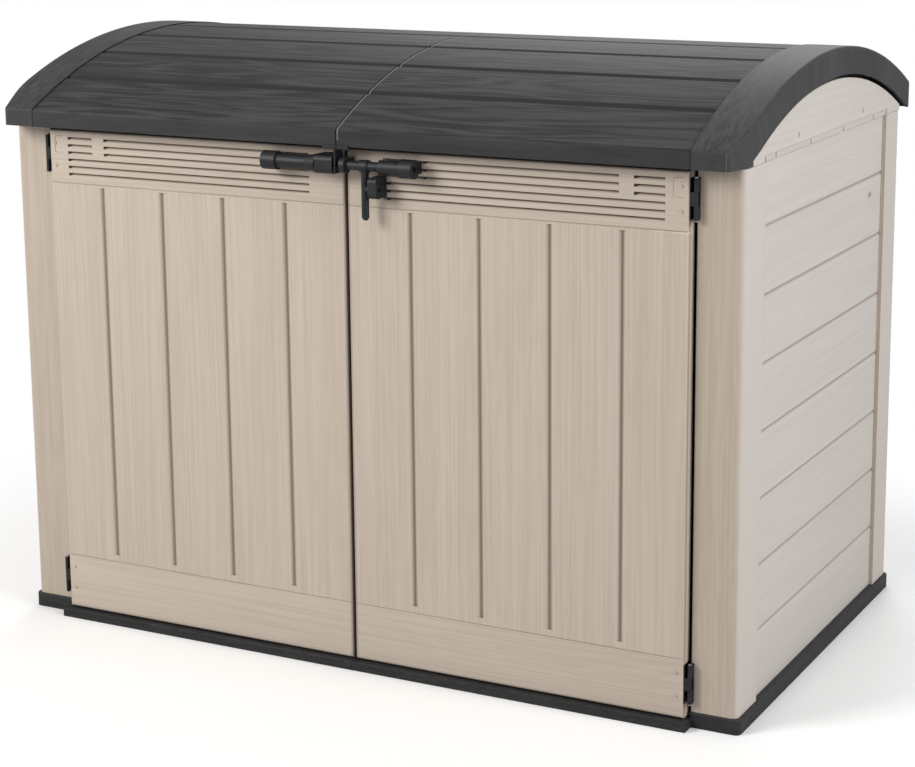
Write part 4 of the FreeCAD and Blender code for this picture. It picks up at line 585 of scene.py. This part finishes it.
# ------------------------------------------------------------------- room and camera
# A pale studio: a wide floor that fades to white away from the box, a soft warm key lamp
# on the left, a cooler one on the right, one behind, and a white surround.
BOX_HALF_X, BOX_HALF_Y = 0.885, 0.57
FADE_START, FADE_END = 0.12, 0.95
FLOOR_WHITE = (0.99, 0.99, 0.99)
BOUNCE_GREYS = (0.55, 0.55, 0.55), (0.58, 0.58, 0.58)
FLOOR_HALF, FLOOR_DROP = 30.0, 0.0005
LAMP_AIM = Vector((0.0, 0.0, 0.6))
SKY_LEVEL, SKY_SEEN, SKY_GLOSS = 0.42, 0.58, 0.3
CAMERA_PLACE = (2.33, -4.4845, 1.794)
CAMERA_DOWN, CAMERA_LEFT, CAMERA_ROLL = (math.radians(a) for a in (11.76, 27.598, -0.513))
CAMERA_LENS, CAMERA_SHIFT = 87.134, -0.1


def floor_finish():
    """Matt and pale, turning white with the distance from the box for the camera."""
    material, shader, place = begin_finish("studio_floor")
    x, y, z = axes_of(place)
    seen = place.node("ShaderNodeLightPath", {}, {}, "Is Camera Ray")
    mottle = noise(place, (1.3, 1.3, 1.3), 2.0)
    dull = blend_colour(mottle, *BOUNCE_GREYS)
    connect(blend_colour(seen, dull, FLOOR_WHITE), shader, "Base Color")
    shader.inputs["Roughness"].default_value = 0.9
    shader.inputs["Specular IOR Level"].default_value = 0.0
    beside = x.maths("MAXIMUM", abs(x) - BOX_HALF_X, 0.0) ** 2.0
    before = x.maths("MAXIMUM", abs(y) - BOX_HALF_Y, 0.0) ** 2.0
    away = (beside + before) ** 0.5
    white = place.node("ShaderNodeEmission", {}, {"Color": (1.0, 1.0, 1.0, 1.0), "Strength": 1.0})
    lit = Field(material.node_tree, shader.outputs[0])
    faded = place.node("ShaderNodeMixShader", {}, {
        0: seen * ease(away, FADE_START, FADE_END), 1: lit, 2: white})
    connect(faded, material.node_tree.nodes["Material Output"], "Surface")
    return material


ground = bmesh.new()
bmesh.ops.create_grid(ground, x_segments=2, y_segments=2, size=FLOOR_HALF)
ground_mesh = bpy.data.meshes.new("studio_floor")
ground.to_mesh(ground_mesh)
ground.free()
ground_mesh.materials.append(floor_finish())
studio_floor = bpy.data.objects.new("studio_floor", ground_mesh)
studio_floor.location.z = -FLOOR_DROP
bpy.context.scene.collection.objects.link(studio_floor)

for name, place, size, power, tint in (
        ("key_lamp", (-2.9, -4.3, 3.3), 2.2, 205.0, (1.0, 0.985, 0.96)),
        ("side_lamp", (4.8, -1.0, 2.6), 2.6, 150.0, (0.965, 0.985, 1.0)),
        ("rear_lamp", (-1.5, 5.2, 4.0), 3.0, 120.0, (1.0, 1.0, 1.0))):
    light = bpy.data.lights.new(name, "AREA")
    light.size = size
    light.energy = power
    light.color = tint
    lamp = bpy.data.objects.new(name, light)
    lamp.location = place
    lamp.rotation_euler = (Vector(place) - LAMP_AIM).to_track_quat("Z", "Y").to_euler()
    bpy.context.scene.collection.objects.link(lamp)

world = bpy.data.worlds.new("studio")
bpy.context.scene.world = world
world.use_nodes = True
sky = Field(world.node_tree)
surround = world.node_tree.nodes["Background"]
bright, glossy, through = (sky.node("ShaderNodeLightPath", {}, {}, f"Is {ray} Ray")
                           for ray in ("Camera", "Glossy", "Transmission"))
bright = bright.maths("MAXIMUM", bright, glossy * SKY_GLOSS)
bright = bright.maths("MAXIMUM", bright, through)
connect(bright * SKY_SEEN + SKY_LEVEL, surround, "Strength")
surround.inputs["Color"].default_value = (1.0, 1.0, 1.0, 1.0)

lens = bpy.data.cameras.new("camera")
lens.lens = CAMERA_LENS
lens.shift_y = CAMERA_SHIFT
camera = bpy.data.objects.new("camera", lens)
aim = Euler((math.pi / 2 - CAMERA_DOWN, 0.0, CAMERA_LEFT))
camera.matrix_world = (Matrix.Translation(CAMERA_PLACE) @ aim.to_matrix().to_4x4()
                       @ Matrix.Rotation(CAMERA_ROLL, 4, "Z"))
bpy.context.scene.collection.objects.link(camera)
bpy.context.scene.camera = camera
bpy.context.scene.view_settings.view_transform = "Standard"
